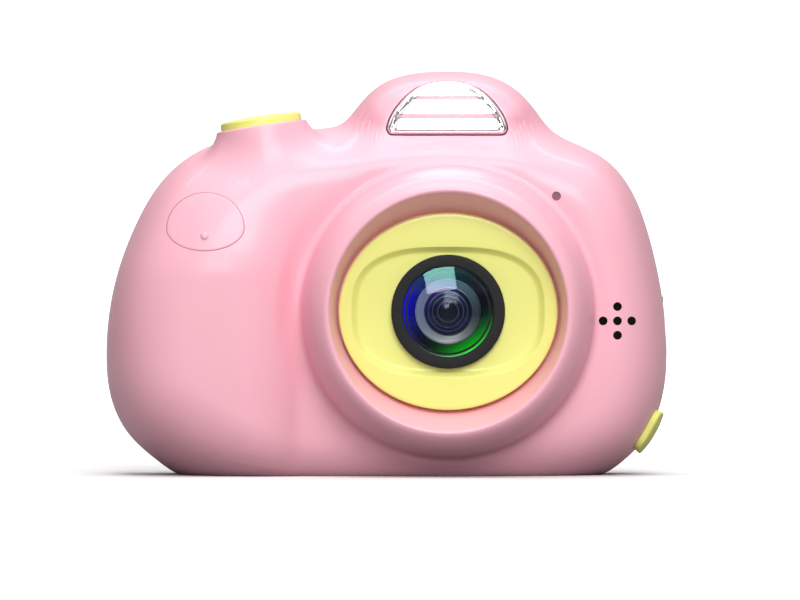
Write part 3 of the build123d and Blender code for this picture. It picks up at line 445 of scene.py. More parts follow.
PINK = surface("pink shell", (0.92, 0.455, 0.545), 0.42, grain=900, bump=0.10, tint=0.02,
               coat=0.12)
YELLOW = surface("yellow plastic", (0.88, 0.89, 0.24), 0.36, grain=900, bump=0.08, tint=0.02,
                 coat=0.15)
RUBBER = surface("yellow rubber", (0.84, 0.85, 0.22), 0.55, grain=1400, bump=0.35, tint=0.03)
RING = surface("ring plastic", (0.012, 0.012, 0.013), 0.5, grain=1500, bump=0.3, tint=0.1, spec=0.2)
BLACK = surface("black plastic", (0.012, 0.012, 0.013), 0.45, grain=1200, bump=0.25, tint=0.1)
CHROME = surface("mirror trim", (0.93, 0.93, 0.94), 0.05, 1.0, grain=300, tint=0.01, wear=0.02)
STEEL = surface("steel", (0.55, 0.55, 0.56), 0.28, 1.0, grain=900, bump=0.2, tint=0.06)
BOARD = surface("board", (0.015, 0.10, 0.05), 0.4, grain=700, bump=0.2, tint=0.12, coat=0.3)
FLEX = surface("flex", (0.50, 0.22, 0.03), 0.35, grain=500, tint=0.08, coat=0.2)
FOIL = surface("cell foil", (0.62, 0.62, 0.64), 0.35, 0.9, grain=300, bump=0.5, tint=0.05)
WIRE = surface("wire", (0.45, 0.03, 0.03), 0.4, tint=0.05)
FOAM = surface("foam", (0.004, 0.004, 0.004), 0.9, grain=2500, bump=1.0, tint=0.2, spec=0.1)
# Microphone mesh: the pink casing colour darkened to about a quarter, painted shade for the inside
# of its hole.
SHADED_PINK_MESH = surface("microphone mesh in painted shade", (0.26, 0.12, 0.16), 0.7, grain=2500, bump=0.8, tint=0.15)
LIGHT_GUIDE = surface("light guide", (0.75, 0.80, 0.85), 0.15, grain=500, tint=0.02, coat=0.4)
CONE = surface("speaker cone", (0.03, 0.03, 0.03), 0.8, grain=2000, bump=0.8, tint=0.1)
SILICON = surface("sensor", (0.04, 0.05, 0.09), 0.15, 0.4, grain=3000, tint=0.2)
CLEAR = see_through("lens glass", (0.62, 0.68, 0.90), 0.8)
COATED = see_through("coated window", (0.96, 0.97, 1.0), 1.0, 0.006, [
    (0.25, 0.28, 0.45), (0.75, 0.72, 1.0), (0.50, 0.80, 1.0), (0.40, 1.0, 0.80), (0.45, 1.0, 0.85),
])

BY_SLOT = {
    "pink_shell": PINK, "yellow_plastic": YELLOW, "black_plastic": BLACK, "ring_plastic": RING,
    "lens_glass": CLEAR, "window_glass": BLACK, "mirror_trim": CHROME, "yellow_rubber": RUBBER,
    "screw_steel": STEEL, "socket_steel": STEEL, "board": BOARD, "flex": FLEX, "cell_foil": FOIL,
    "wire": WIRE, "foam": FOAM, "light_guide": LIGHT_GUIDE, "paper_cone": CONE,
    "sensor_silicon": SILICON,
}
SLOTS = {s["node"]: s["material_slot"] for s in frame["record"]["subparts"]}
for node, thing in frame["nodes"].items():
    thing.data.materials.clear()
    thing.data.materials.append(BY_SLOT[SLOTS[node]])


# ---------------------------------------------------------------- the front casing
def seam_rings(front):
    """Three rings that leave a fine groove between the casings."""
    side = -1 if front else 1
    return [
        floored(ring3(inset_ring(0.30), PART + side * 0.03), 0),
        floored(ring3(inset_ring(0.06), PART + side * 0.16), 0),
        floored(ring3(inset_ring(0.0), PART + side * 0.34), 0),
    ]


def shell_rings(front):
    """The outer skin from the seam to the circle where the flat middle starts."""
    edges = FRONT_EDGE if front else BACK_EDGE
    foot = 26.4 if front else 16.0
    from_lens = np.linalg.norm(RIM - (LX, LZ), axis=1)
    reach = np.minimum(edges, (from_lens - foot - 1.4) * FACING)
    out = seam_rings(front)
    side = -1 if front else 1
    for i, t in enumerate(np.linspace(0, 1, 20 * FINE + 1)[1:]):
        turn = (pi / 2) * t**1.35
        inset = edges * (1 - cos(turn) ** (2 / EDGE_POWER))
        inset = np.minimum(inset, reach * (0.35 + 0.65 * t))
        flat = inset_ring(inset)
        deep = np.maximum(side * (height(flat, front) - PART), 0.36 + 0.01 * i)
        out.append(floored(ring3(flat, PART + side * deep), 0))
    start = flat
    circle = oval(foot)
    for t in np.linspace(0, 1, 16 * FINE + 1)[1:]:
        flat = start * (1 - t) + circle * t
        out.append(floored(ring3(flat, height(flat, front)), 0))
    return out


def curve_through(points, count):
    """A smooth line through points, at even steps of the points' own spacing."""
    points = np.array(points, float)
    share = np.append(0, np.cumsum(np.linalg.norm(np.diff(points, axis=0), axis=1)))
    share /= share[-1]
    slope = np.gradient(points, share, axis=0)
    at = np.linspace(0, 1, count)
    i = np.clip(np.searchsorted(share, at) - 1, 0, len(share) - 2)
    gap = (share[i + 1] - share[i])[:, None]
    t = (at - share[i])[:, None] / gap
    return (
        (2 * t**3 - 3 * t**2 + 1) * points[i] + (t**3 - 2 * t**2 + t) * gap * slope[i]
        + (3 * t**2 - 2 * t**3) * points[i + 1] + (t**3 - t**2) * gap * slope[i + 1]
    )


def oval_ring(a, b, y):
    """An oval round the lens at a Y, or each point at its own."""
    return ring3(oval(a, b), y)


def inner_rings(front, circle, reach, steps):
    """The inner skin, from a circle round the lens out to the wall's end at the seam."""
    out = []
    deepest = inset_ring(WALL + reach)
    seam = PART + (-0.03 if front else 0.03)
    for t in steps:
        flat = circle * (1 - t) + deepest * t
        out.append(floored(ring3(flat, height(flat, front, WALL)), WALL))
    for t in (0.8, 0.6, 0.45, 0.3, 0.2, 0.12, 0.05, 0.015, 0.0):
        flat = inset_ring(WALL + reach * t)
        out.append(floored(ring3(flat, height(flat, front, WALL) if t else seam), WALL))
    return out


def front_shell():
    """The whole front casing as one thick skin, from the seam over the lens surround and back."""
    foot_r, lip_r, lip_y, lip_rise = 25.12, 20.25, -25.05, 9.35
    well_a, well_b, well_y, behind_y = 18.95, 17.05, -18.05, -16.4
    out = shell_rings(True)
    foot = out[-1][:, 1]
    for r, drop in ((25.9, 0.06), (25.5, 0.28), (25.25, 0.7), (foot_r, 1.3)):
        out.append(floored(oval_ring(r, r, foot - drop), 0))
    start = foot - 1.3
    side = curve_through([
        (foot_r, 0), (24.75, 2.6), (23.9, 5.4), (22.9, 7.6), (21.9, 9.0),
        (21.2, 9.6), (20.75, 9.75), (20.4, 9.62), (lip_r, lip_rise),
    ], 44)
    for r, rise in side[1:]:
        y = start * (1 - rise / lip_rise) + lip_y * (rise / lip_rise)
        out.append(oval_ring(r, r, np.minimum(y, start)))
    last = out[-1][:, 1]
    for t in np.linspace(0, 1, 14)[1:]:
        a, b = lip_r * (1 - t) + well_a * t, lip_r * (1 - t) + well_b * t
        out.append(oval_ring(a, b, last * (1 - t) + well_y * t))
    for r, y in ((16.0, -18.0), (8.4, -18.0), (7.35, -18.0), (7.35, behind_y), (14, behind_y),
                 (22.3, behind_y)):
        out.append(oval_ring(r, r, y))
    circle = oval(22.3)
    out.append(ring3(circle, -12.0))
    from_lens = np.linalg.norm(inset_ring(WALL) - (LX, LZ), axis=1)
    reach = np.minimum(FRONT_EDGE - WALL, (from_lens - 24.0) * FACING)
    return out + inner_rings(True, circle, reach, (0.3, 0.65, 1.0))


def inlay_outline(grow, count=96):
    """The grip inlay's egg shape, taller above its widest line than below."""
    low, high = span("grip_inlay")
    x, a = (low[0] + high[0]) / 2, (high[0] - low[0]) / 2 + grow
    up, down = 6.1 + grow, 4.0 + grow
    z = high[2] - 6.1
    turn = np.arange(count) * 2 * pi / count
    tall = np.where(np.sin(turn) > 0, up, down)
    return np.stack([x + a * np.cos(turn), z + tall * np.sin(turn)], 1)


def skin_tool(flat, depth, steps=10):
    """A closed tool from far in front back to a given depth under the casing's front."""
    flat = np.array(flat)
    centre = flat.mean(0)
    out = [ring3(flat, -40.0)]
    for t in np.linspace(0, 1, steps):
        ring = flat * (1 - t) + centre * t if t < 1 else centre + (flat - centre) * 0.01
        out.append(ring3(ring, height(ring, True) + depth))
    return rings("tool", out, None, wrap=False, body=None)


TILT = radians(8.5)
PLINTH_TOP = np.array([-21.7, -4.2, 60.6])


def shutter_frame():
    """A place whose Y axis points out of the shutter button."""
    up = Vector((-sin(TILT), 0, cos(TILT)))
    side = Vector((cos(TILT), 0, sin(TILT)))
    along = side.cross(up)
    m = Matrix((side, up, along)).transposed().to_4x4()
    m.translation = Vector(PLINTH_TOP)
    return m


SHUTTER = shutter_frame()


def trim_outline(grow, count=60):
    """The arch of the mirror trim, from its lower right corner round the top."""
    low, high = span("flash_trim")
    x, foot, top = (low[0] + high[0]) / 2, low[2], high[2]
    half = curve_through([(9.0, foot), (9.9, foot + 0.12), (10.38, foot + 0.9), (10.1, foot + 2.4),
                          (9.2, foot + 4.2), (7.9, foot + 5.9), (6.2, foot + 7.5), (4.0, foot + 8.8),
                          (1.8, top - 0.1), (0.0, top)], count)
    loop = np.concatenate([half, half[::-1][1:] * (-1, 1)])
    along = np.roll(loop, -1, 0) - np.roll(loop, 1, 0)
    along /= np.linalg.norm(along, axis=1)[:, None]
    return loop + (x, 0) + np.stack([along[:, 1], -along[:, 0]], 1) * grow


def trim_y(z):
    """The front of the trim: nearly upright, curling back at its top."""
    return -9.35 + 1.7 * smooth(64.5, 69.5, z) ** 1.3


def rect_ring(w, h, corner, x, z, count=24):
    """A rounded rectangle, with the same number of points whatever its size."""
    points = []
    for k, (sx, sz) in enumerate(((1, 1), (-1, 1), (-1, -1), (1, -1))):
        for t in np.linspace(0, pi / 2, count):
            a = k * pi / 2 + t
            points.append((x + sx * (w / 2 - corner) + corner * cos(a),
                           z + sz * (h / 2 - corner) + corner * sin(a)))
    return np.array(points)


def block(low, high, corner=0.4):
    """A closed box with rounded corners seen along X."""
    (x0, y0, z0), (x1, y1, z1) = low, high
    ring = rect_ring(y1 - y0, z1 - z0, corner, (y0 + y1) / 2, (z0 + z1) / 2, 6)
    ends = [np.stack([np.full(len(ring), x), ring[:, 0], ring[:, 1]], 1) for x in (x0, x1)]
    return rings("tool", ends, None, wrap=False, body=None)


def strap_tool():
    """The window for the strap plate, through both casings."""
    low, high = span("strap_plate")
    return block((-60, PART - 2.6, low[2] + 0.8), (-44, PART + 2.6, high[2] - 0.8))


def side_tools():
    """The strap window, the port's hole, the card's slot and its fingertip scoop."""
    out = [strap_tool()]
    low, high = span("usb_socket")
    out.append(block((37, low[1] - 0.85, low[2] - 0.4), (60, high[1] + 0.85, high[2] + 0.4), 1.2))
    low, high = span("memory_card")
    out.append(block((44, low[1] - 0.25, low[2] - 0.25), (60, high[1] + 0.25, high[2] + 0.25)))
    arc = [(5.0 * sin(t), -5.0 * cos(t), 0) for t in np.linspace(0, pi, 25)]
    spot = ((low + high) / 2)[1:]
    out.append(lathe("tool", arc, None, (52.6, spot[0], spot[1]), turns=64, body=None))
    return out


shell = rings("front_shell", front_shell(), PINK, slot="pink_shell", node="front_casing", angle=40)
tools = [
    lathe("tool", [(8.3, 12, 0), (8.3, -7.2, 0), (0, -7.2, 0), (0, 12, 0)], None, SHUTTER,
          turns=64, body=None),
    skin_tool(inlay_outline(0.035), 1.25),
    prism(trim_outline(0.16), -14.0, -6.6),
]
SOUND_X, SOUND_Z, PITCH = 39.8, 26.8, 2.47
CROSS = ((0, 0), (1, 0), (-1, 0), (0, 1), (0, -1))
HOLES = [(SOUND_X + i * PITCH, SOUND_Z + k * PITCH) for i, k in CROSS]
tools += [disc(x, z, 0.76, -20, -10.5) for x, z in HOLES]
MIC_X, MIC_Y, MIC_Z = middle("microphone_boot")
tools.append(disc(MIC_X, MIC_Z, 0.78, -20, MIC_Y))
cut(shell, tools + side_tools())
dress(shell, PINK, angle=40)


def plinth():
    """Rings of the button's collar, which flares out from its top onto the casing."""
    turns = 160
    side, up, along, origin = np.array(SHUTTER)[:3].T
    turn = np.arange(turns) * 2 * pi / turns
    out = np.cos(turn)[:, None] * side + np.sin(turn)[:, None] * along
    lean = 0.50 - 0.36 * smooth(0, 1, -out[:, 1])

    def depth(p):
        return p[..., 1] - height(p[..., [0, 2]], True)

    def even(values, reach=5):
        ends = np.concatenate([values[-reach:], values, values[:reach]])
        return np.stack([ends[i : i + turns] for i in range(2 * reach + 1)]).mean(0)

    def at(drop):
        return origin + out * (8.0 + lean * drop)[:, None] + up * (-0.5 - drop)[:, None]

    def slope(p, step=0.15):
        """The direction along the casing and the way into it, at points p."""
        across = (depth(p + out * step) - depth(p - out * step)) / (2 * step)
        rise = (depth(p + up * step) - depth(p - up * step)) / (2 * step)
        size = np.hypot(across, rise)[:, None] + 1e-9
        slide = even((rise[:, None] * out - across[:, None] * up) / size)
        slide *= np.where((slide * (out * lean[:, None] - up)).sum(1) > 0, 1, -1)[:, None]
        return slide, (across[:, None] * out + rise[:, None] * up) / size**2

    drops = np.linspace(0, 16, 161)
    inside = np.array([depth(at(np.full(turns, d))) > 0 for d in drops])
    hit = even(even(drops[np.argmax(inside, 0)], 3))
    corner = at(hit)
    slide, _ = slope(corner)
    room = (6.0 - corner[:, 1]) / np.maximum(slide[:, 1], 0.05)
    room = np.where(slide[:, 1] > 0.05, room, 9)
    far = even(np.minimum(3.0 + 1.5 * smooth(0, 1, -out[:, 1]), room))
    last = corner + slide * far[:, None]
    for _ in range(3):
        _, steep = slope(last)
        last = last - steep * depth(last)[:, None] * 0.8
    ending, steep = slope(last)
    first = at(np.maximum(hit - 4.5, 0))
    start = lean[:, None] * out - up
    start /= np.linalg.norm(start, axis=1)[:, None]
    reach = np.linalg.norm(last - first, axis=1)[:, None] * 0.40
    second, third = first + start * reach, last - ending * reach
    sections = [origin + out * r + up * h for r, h in (
        (8.05, -7.0), (8.05, -3.2), (7.28, -3.2), (7.28, -0.12), (7.33, -0.03), (7.42, 0.0),
        (7.6, 0.0), (7.75, -0.04), (7.88, -0.13), (7.96, -0.28))]
    sections.append(at(np.zeros(turns)))
    for t in np.linspace(0, 1, 18):
        u = 1 - t
        bent = 3 * u**2 * t * second + 3 * u * t**2 * third
        sections.append(u**3 * first + bent + t**3 * (last + steep * 0.02))
    inward = steep / np.linalg.norm(steep, axis=1)[:, None]
    for onward, tuck in ((0.5, 0.10), (0.8, 0.40), (0.0, 0.35)):
        sections.append(last + ending * onward + inward * tuck)
    return sections


rings("plinth", plinth(), PINK, slot="pink_shell", angle=50)
lathe("shutter_disc", [
    (0, 1.82, 0), (3.5, 1.76, 0), (6.55, 1.5, 0.5), (7.05, 1.25, 0.35), (7.05, -3.28, 0),
    (7.7, -3.28, 0.1), (7.7, -3.98, 0.1), (5.8, -3.98, 0), (5.8, 0.2, 0), (1.5, 0.2, 0),
    (1.5, -4.5, 0), (0.9, -4.5, 0), (0.9, -5.75, 0), (0, -5.75, 0),
], YELLOW, SHUTTER, body="moving_shutter_button", slot="yellow_plastic", node="shutter_button",
      turns=160)


# ---------------------------------------------------------------- the face plate and the lens
def squared(a, b, power):
    """Points in X and Z on a rounded rectangle round the lens, one on each ray."""
    reach = (np.abs(RAY[:, 0] / a) ** power + np.abs(RAY[:, 1] / b) ** power) ** (-1 / power)
    return np.array([LX, LZ]) + RAY * reach[:, None]


def face_plate():
    """Rings from the oval rim over the sunk field to the lens hole, then the back."""
    front = span("lens_bezel")[0][1]
    out = []
    for a, b, y in ((18.75, 16.85, -18.0), (18.75, 16.85, front + 0.3), (18.68, 16.78, front + 0.12),
                    (18.5, 16.6, front + 0.02), (18.2, 16.3, front)):
        out.append(oval_ring(a, b, y))
    outer, inner = squared(16.55, 11.15, 2.8), squared(15.45, 10.1, 2.8)
    rim = oval(18.2, 16.3)
    for t in (0.25, 0.5, 0.75, 0.93):
        out.append(ring3(rim * (1 - t) + outer * t, front))
    for t, sink in ((0.0, 0.02), (0.06, 0.07), (0.14, 0.16), (0.3, 0.36), (0.5, 0.6), (0.7, 0.8),
                    (0.86, 0.92), (0.94, 0.965), (1.0, 0.98)):
        out.append(ring3(outer * (1 - t) + inner * t, front + sink * 0.9))
    circle = oval(9.78)
    for t in (0.06, 0.3, 0.6, 0.9, 1.0):
        out.append(ring3(inner * (1 - t) + circle * t, front + 0.9))
    out.append(ring3(circle, -18.0))
    return out


rings("face_plate", face_plate(), YELLOW, slot="yellow_plastic", node="lens_bezel", angle=30)
lathe("lens_rim", [
    (7.05, -18.0, 0), (9.7, -18.0, 0), (9.7, -20.7, 0.22), (7.85, -20.7, 0.12),
    (7.85, -19.25, 0), (7.05, -19.25, 0),
], RING, slot="ring_plastic", node="lens_ring", turns=192)


def dome(name, radius, edge, bulge, back, material, node=None, slot="lens_glass"):
    """A lens element with a bulged front and a flat back."""
    arc = [(r, edge - bulge * (1 - (r / radius) ** 2), 0) for r in np.linspace(0, radius, 24)]
    lathe(name, arc + [(radius, back, 0), (0, back, 0)], material, slot=slot, node=node, turns=160)


dome("lens_dome", 7.75, -20.1, 0.55, -19.35, COATED, "lens_window")


def painted_reflection_glass(name, base, reach, spots, rough=0.25, coat=0.4):
    """Dark glass with painted reflections: each spot's colour is painted into its base colour,
    strongest towards the spot's turn from the lens's middle.
    """
    material = surface(name, base, rough, grain=900, bump=0.05, tint=0.1, coat=coat)
    tree = material.node_tree
    shader = tree.nodes["Principled BSDF"]
    offset = offset_from(tree, LX, LZ)
    total = shader.inputs["Base Color"].links[0].from_socket
    # Each spot adds a painted reflection colour that grows towards its turn.
    for turn, colour, sharp in spots:
        way = np.array([cos(radians(turn)), 0, sin(radians(turn))]) / (reach * MM)
        toward = add(tree, "VectorMath", {0: offset, 1: way}, operation="DOT_PRODUCT")
        above = add(tree, "Math", {0: toward.outputs["Value"], 1: 0.0}, operation="MAXIMUM")
        power = add(tree, "Math", {0: above.outputs[0], 1: sharp}, operation="POWER")
        glow = add(tree, "VectorMath", {0: colour, "Scale": power.outputs[0]}, operation="SCALE")
        inputs = {0: total, 1: glow.outputs["Vector"]}
        total = add(tree, "VectorMath", inputs, operation="ADD").outputs["Vector"]
    feed(tree, shader, {"Base Color": total})
    return material


# Painted reflections on the lens cone: blue at the left, green at the lower right and dark teal at
# the top, painted into its near-black colour.
CONE_PAINTED_REFLECTION = painted_reflection_glass("cone painted reflection", (0.003, 0.003, 0.004), 7.6, [
    (167, (0.0, 0.004, 1.5), 5), (-58, (0.0, 1.5, 0.0), 5), (102, (0.0, 0.14, 0.25), 5),
], coat=0.15)
# Painted reflections on the grey ring: lavender at the left, grey-green below and a lighter teal
# painted highlight at the top.
RING_PAINTED_REFLECTION = painted_reflection_glass("ring painted reflection", (0.03, 0.04, 0.045), 5.2, [
    (172, (0.24, 0.27, 0.42), 1.4), (-95, (0.20, 0.24, 0.16), 1.4), (80, (0.05, 0.16, 0.20), 2.0),
])
# Near-black baffles and deep glass with painted reflections: a magenta and a teal glow towards the
# top and dark blue at the left.
DEEP_PAINTED_REFLECTION = painted_reflection_glass("deep painted reflection", (0.004, 0.007, 0.020), 3.9, [
    (128, (1.3, 0.05, 0.7), 8), (75, (0.02, 0.20, 0.35), 6), (175, (0.02, 0.03, 0.20), 4),
], rough=0.5, coat=0.0)
lathe("barrel_body", [
    (6.9, -18.0, 0), (6.9, -9.2, 0), (3.6, -9.2, 0), (3.6, -12.6, 0), (3.0, -12.6, 0),
    (3.0, -14.0, 0), (4.2, -14.0, 0), (4.2, -16.4, 0), (4.05, -16.4, 0), (4.05, -17.4, 0),
    (5.65, -17.4, 0.1), (6.2, -18.0, 0),
], BLACK, slot="black_plastic", node="lens_barrel", turns=160)
lathe("painted_reflection_cone", [
    (7.76, -19.2, 0), (7.76, -19.42, 0), (7.6, -19.40, 0.1), (5.72, -17.95, 0.1), (5.68, -17.7, 0),
    (6.2, -17.7, 0), (7.0, -18.3, 0), (7.0, -19.2, 0),
], CONE_PAINTED_REFLECTION, slot="black_plastic", turns=192)
lathe("barrel_ring", [
    (5.66, -17.5, 0), (5.66, -18.0, 0.12), (5.5, -18.08, 0.1), (5.38, -17.95, 0.05),
    (4.25, -17.75, 0.1), (4.1, -17.82, 0.08), (4.05, -17.5, 0),
], RING_PAINTED_REFLECTION, slot="black_plastic", turns=192)
dome("front_glass", 4.0, -17.0, 0.9, -16.4, CLEAR, "front_element")
for i, r in enumerate((4.0, 3.5, 3.0, 2.5, 2.0)):
    y = -16.3 + 0.3 * i
    lathe(f"baffle_{i}", [
        (r, y, 0), (r, y + 0.3, 0), (r - 0.62, y + 0.3, 0.05), (r - 0.60, y + 0.02, 0.06),
        (r - 0.5, y - 0.05, 0.03), (r - 0.4, y + 0.05, 0.03),
    ], DEEP_PAINTED_REFLECTION, slot="black_plastic", turns=128)
# Thin light rings in the lens: painted reflections, painted lighter still towards the top.
GLINT_RINGS = painted_reflection_glass("lens glint ring", (0.14, 0.18, 0.30), 3.6, [(100, (0.35, 0.55, 0.65), 2.5)], coat=0.1)
for i, (r, y) in enumerate(((3.45, -17.12), (2.75, -17.36), (1.85, -17.6))):
    lathe(f"glint_ring_{i}", [
        (r, y, 0), (r, y - 0.06, 0.02), (r - 0.13, y - 0.06, 0.02), (r - 0.13, y, 0),
    ], GLINT_RINGS, slot="black_plastic", turns=128)
dome("deep_glass", 1.5, -15.2, 0.3, -14.8, DEEP_PAINTED_REFLECTION, slot="black_plastic")


# ---------------------------------------------------------------- mirror trim, inlay and holes
def trim_piece():
    """Rings over the arch's rim, and the form of its face with three stepped slats."""
    rim = trim_outline(0.0)
    centre_x = rim[:, 0].mean()

    def face(flat):
        x, z = flat[:, 0] - centre_x, flat[:, 1]
        y = trim_y(z)
        for low, half, tall in ((65.1, 6.7, 2.6), (61.9, 8.7, 3.0), (59.2, 9.6, 2.5)):
            across = 1 - smooth(half - 0.5, half + 0.25, np.abs(x))
            ramp = np.clip((low + tall - z) / tall, 0, 1) * smooth(low - 0.1, low + 0.75, z)
            y = y - 0.62 * ramp * across
        groove = np.exp(-(((z - 63.30) / 0.07) ** 2)) * (1 - smooth(5.4, 6.4, np.abs(x)))
        return y + 0.05 * groove

    out = [ring3(rim, -6.9)]
    for inset, lip in ((0.0, 0.95), (0.05, 0.60), (0.12, 0.38), (0.22, 0.20), (0.34, 0.08),
                       (0.46, 0.02), (0.58, 0.0), (0.68, 0.05), (0.76, 0.16), (0.84, 0.34)):
        flat = trim_outline(-inset)
        out.append(ring3(flat, trim_y(flat[:, 1]) + lip))
    return out, face


def trim_face(face):
    """The slatted face as a fine grid of rows, closed behind."""
    rows, columns = 130 * FINE, 48
    inner = trim_outline(-0.85)
    cx = inner[:, 0].mean()
    right = inner[inner[:, 0] >= cx]
    right = right[np.argsort(right[:, 1])]
    z0, z1 = right[:, 1].min() + 0.01, right[:, 1].max() - 0.02
    points = []
    for z in np.linspace(z0, z1, rows):
        half = np.interp(z, right[:, 1], right[:, 0]) - cx
        across = half * np.sin(np.linspace(-pi / 2, pi / 2, columns))
        flat = np.stack([cx + across, np.full(columns, z)], 1)
        rim_slope = 0.8 * np.maximum(0.75 - (half - np.abs(across)), 0)
        points.append(ring3(flat, face(flat) + rim_slope))
    front = np.concatenate(points)
    back = front.copy()
    back[:, 1] = -7.2
    count = len(front)
    faces = []
    for i in range(rows - 1):
        for k in range(columns - 1):
            a = i * columns + k
            faces.append((a, a + 1, a + columns + 1, a + columns))
            faces.append((count + a + columns, count + a + columns + 1, count + a + 1, count + a))
    edge = (
        list(range(columns)) + [i * columns + columns - 1 for i in range(1, rows)]
        + [(rows - 1) * columns + k for k in range(columns - 2, -1, -1)]
        + [i * columns for i in range(rows - 2, 0, -1)]
    )
    for a, b in zip(edge, edge[1:] + edge[:1]):
        faces.append((b, a, count + a, count + b))
    return np.concatenate([front, back]), faces


frame_rings, slats = trim_piece()
last = frame_rings[-1].copy()
last[:, 1] = -6.9
rings("trim_frame", frame_rings + [last], CHROME, slot="mirror_trim", node="flash_trim", angle=60)
points, faces = trim_face(slats)
piece("trim_slats", points, faces, CHROME, slot="mirror_trim", angle=50)


def inlay():
    """Rings of the grip inlay, from its hidden wall over its edge to the middle of its face."""
    flat = inlay_outline(0.0, 128)
    centre = np.array([flat[:, 0].mean(), flat[:, 1].mean()])
    out = [ring3(flat, height(flat, True) + 1.1)]
    for inset, sink in ((0.0, 0.22), (0.03, 0.1), (0.09, 0.03), (0.18, 0.0)):
        ring = inlay_outline(-inset, 128)
        out.append(ring3(ring, height(ring, True) + sink))
    start = ring
    for t in np.linspace(0, 1, 16)[1:]:
        ring = start * (1 - t) + centre * t if t < 1 else centre + (start - centre) * 0.004
        out.append(ring3(ring, height(ring, True)))
    return out


rings("grip_inlay_skin", inlay(), PINK, wrap=False, slot="pink_shell", node="grip_inlay")


def nub_place(x, z, step=0.3):
    """A place on the front whose Y axis points out of the casing."""
    nub = np.array([[x, z]])
    slope = [
        (height(nub + way, True) - height(nub - way, True))[0] / (2 * step)
        for way in ((step, 0), (0, step))
    ]
    out_way = Vector((slope[0], -1, slope[1])).normalized()
    place = out_way.to_track_quat("Y", "Z").to_matrix().to_4x4()
    place.translation = Vector((x, height(nub, True)[0], z))
    return place


lathe("grip_nub", [
    (0, 0.34, 0), (0.45, 0.30, 0.2), (0.78, 0.02, 0.2), (0.86, -0.5, 0), (0, -0.5, 0),
], PINK, nub_place(-31.2, 41.4), slot="pink_shell", turns=48)


def mesh_disc(name, x, z, r, sink, back, material):
    """A round piece of mesh a little way down a hole in the front."""
    y = height(np.array([[x, z]]), True)[0]
    lathe(name, [(0, y + sink, 0), (r, y + sink, 0), (r, y + back, 0), (0, y + back, 0)], material,
          (x, 0, z), slot="foam", turns=32)


for i, (x, z) in enumerate(HOLES):
    mesh_disc(f"sound_mesh_{i}", x, z, 0.74, 0.35, 1.6, FOAM)
# Its mauve is painted shade: the hole's pink inside as it looks in shadow.
mesh_disc("mic_mesh", MIC_X, MIC_Z, 0.76, 0.25, 0.9, SHADED_PINK_MESH)


# ---------------------------------------------------------------- the back
def rear_shell():
    """The rear casing as one thick skin, from the seam over the flat back and round inside."""
    out = shell_rings(False)
    circle = oval(0.05)
    start = out[-1][:, [0, 2]]
    for t in (0.5, 1.0):
        flat = start * (1 - t) + circle * t
        out.append(ring3(flat, height(flat, False)))
    out.append(ring3(circle, BACK - WALL))
    return out + inner_rings(False, circle, BACK_EDGE - WALL, (0.5, 1.0))


def framed(name, w, h, corner, profile, x, z, material, **rest):
    """A closed (inset, Y) profile swept round a rounded rectangle."""
    sections = []
    for inset, y in rounded(profile):
        ring = rect_ring(w - 2 * inset, h - 2 * inset, max(corner - inset, 0.3), x, z)
        sections.append(ring3(ring, y))
    return rings(name, sections, material, **rest)


low, high = span("display_bezel")
SX, SZ = (low[0] + high[0]) / 2, (low[2] + high[2]) / 2
SW, SH = high[0] - low[0], high[2] - low[2]
rear = rings("rear_shell", rear_shell(), PINK, slot="pink_shell", node="rear_casing", angle=40)
tools = [prism(rect_ring(SW + 0.25, SH + 0.25, 6.1, SX, SZ), BACK - 0.8, 30),
         prism(rect_ring(50.6, 38.6, 3, SX, SZ), 5, BACK - 0.5)]
KEYS = {"power_button": 3.2, "menu_button": 2.8, "playback_button": 2.8, "ok_button": 4.2}
tools += [disc(*middle(name)[[0, 2]], r + 0.2, BACK - 3, 30, 72) for name, r in KEYS.items()]
pad = middle("ok_button")


def quarter(grow, angle, count=28):
    """The outline of one quarter of the direction pad."""
    out_r, in_r, gap = 9.8 + grow, 5.8 - grow, 0.8 - grow
    points = []
    for r, way in ((out_r, 1), (in_r, -1)):
        half = pi / 4 - np.arcsin(gap / r)
        turn = np.linspace(-half, half, count)[::way]
        points += [(r * cos(t + angle), r * sin(t + angle)) for t in turn]
    return np.array(points) + (pad[0], pad[2])


ARROWS = {"right_key": 0, "up_key": pi / 2, "left_key": pi, "down_key": -pi / 2}
tools += [prism(quarter(0.2, angle), BACK - 3, 30) for angle in ARROWS.values()]
tools.append(disc(*middle("status_light")[[0, 2]], 0.98, 5, 30, 32))
SCREW_HOLES = ((-38.5, 8.0), (-35.5, 49.0), (41.0, 14.5), (39.5, 47.0))
tools += [disc(x, z, 2.2, 10.4, 30, 40) for x, z in SCREW_HOLES]
cut(rear, tools + [strap_tool()])
dress(rear, PINK, angle=40)

framed("screen_frame", SW, SH, 6.0, [
    (0, BACK - 0.8, 0), (0, BACK + 0.9, 0.7), (2.6, BACK + 0.75, 0.4), (3.35, BACK + 0.35, 0.15),
    (3.35, BACK - 0.4, 0), (5.0, BACK - 0.4, 0), (5.0, BACK - 0.8, 0),
], SX, SZ, YELLOW, slot="yellow_plastic", node="display_bezel")


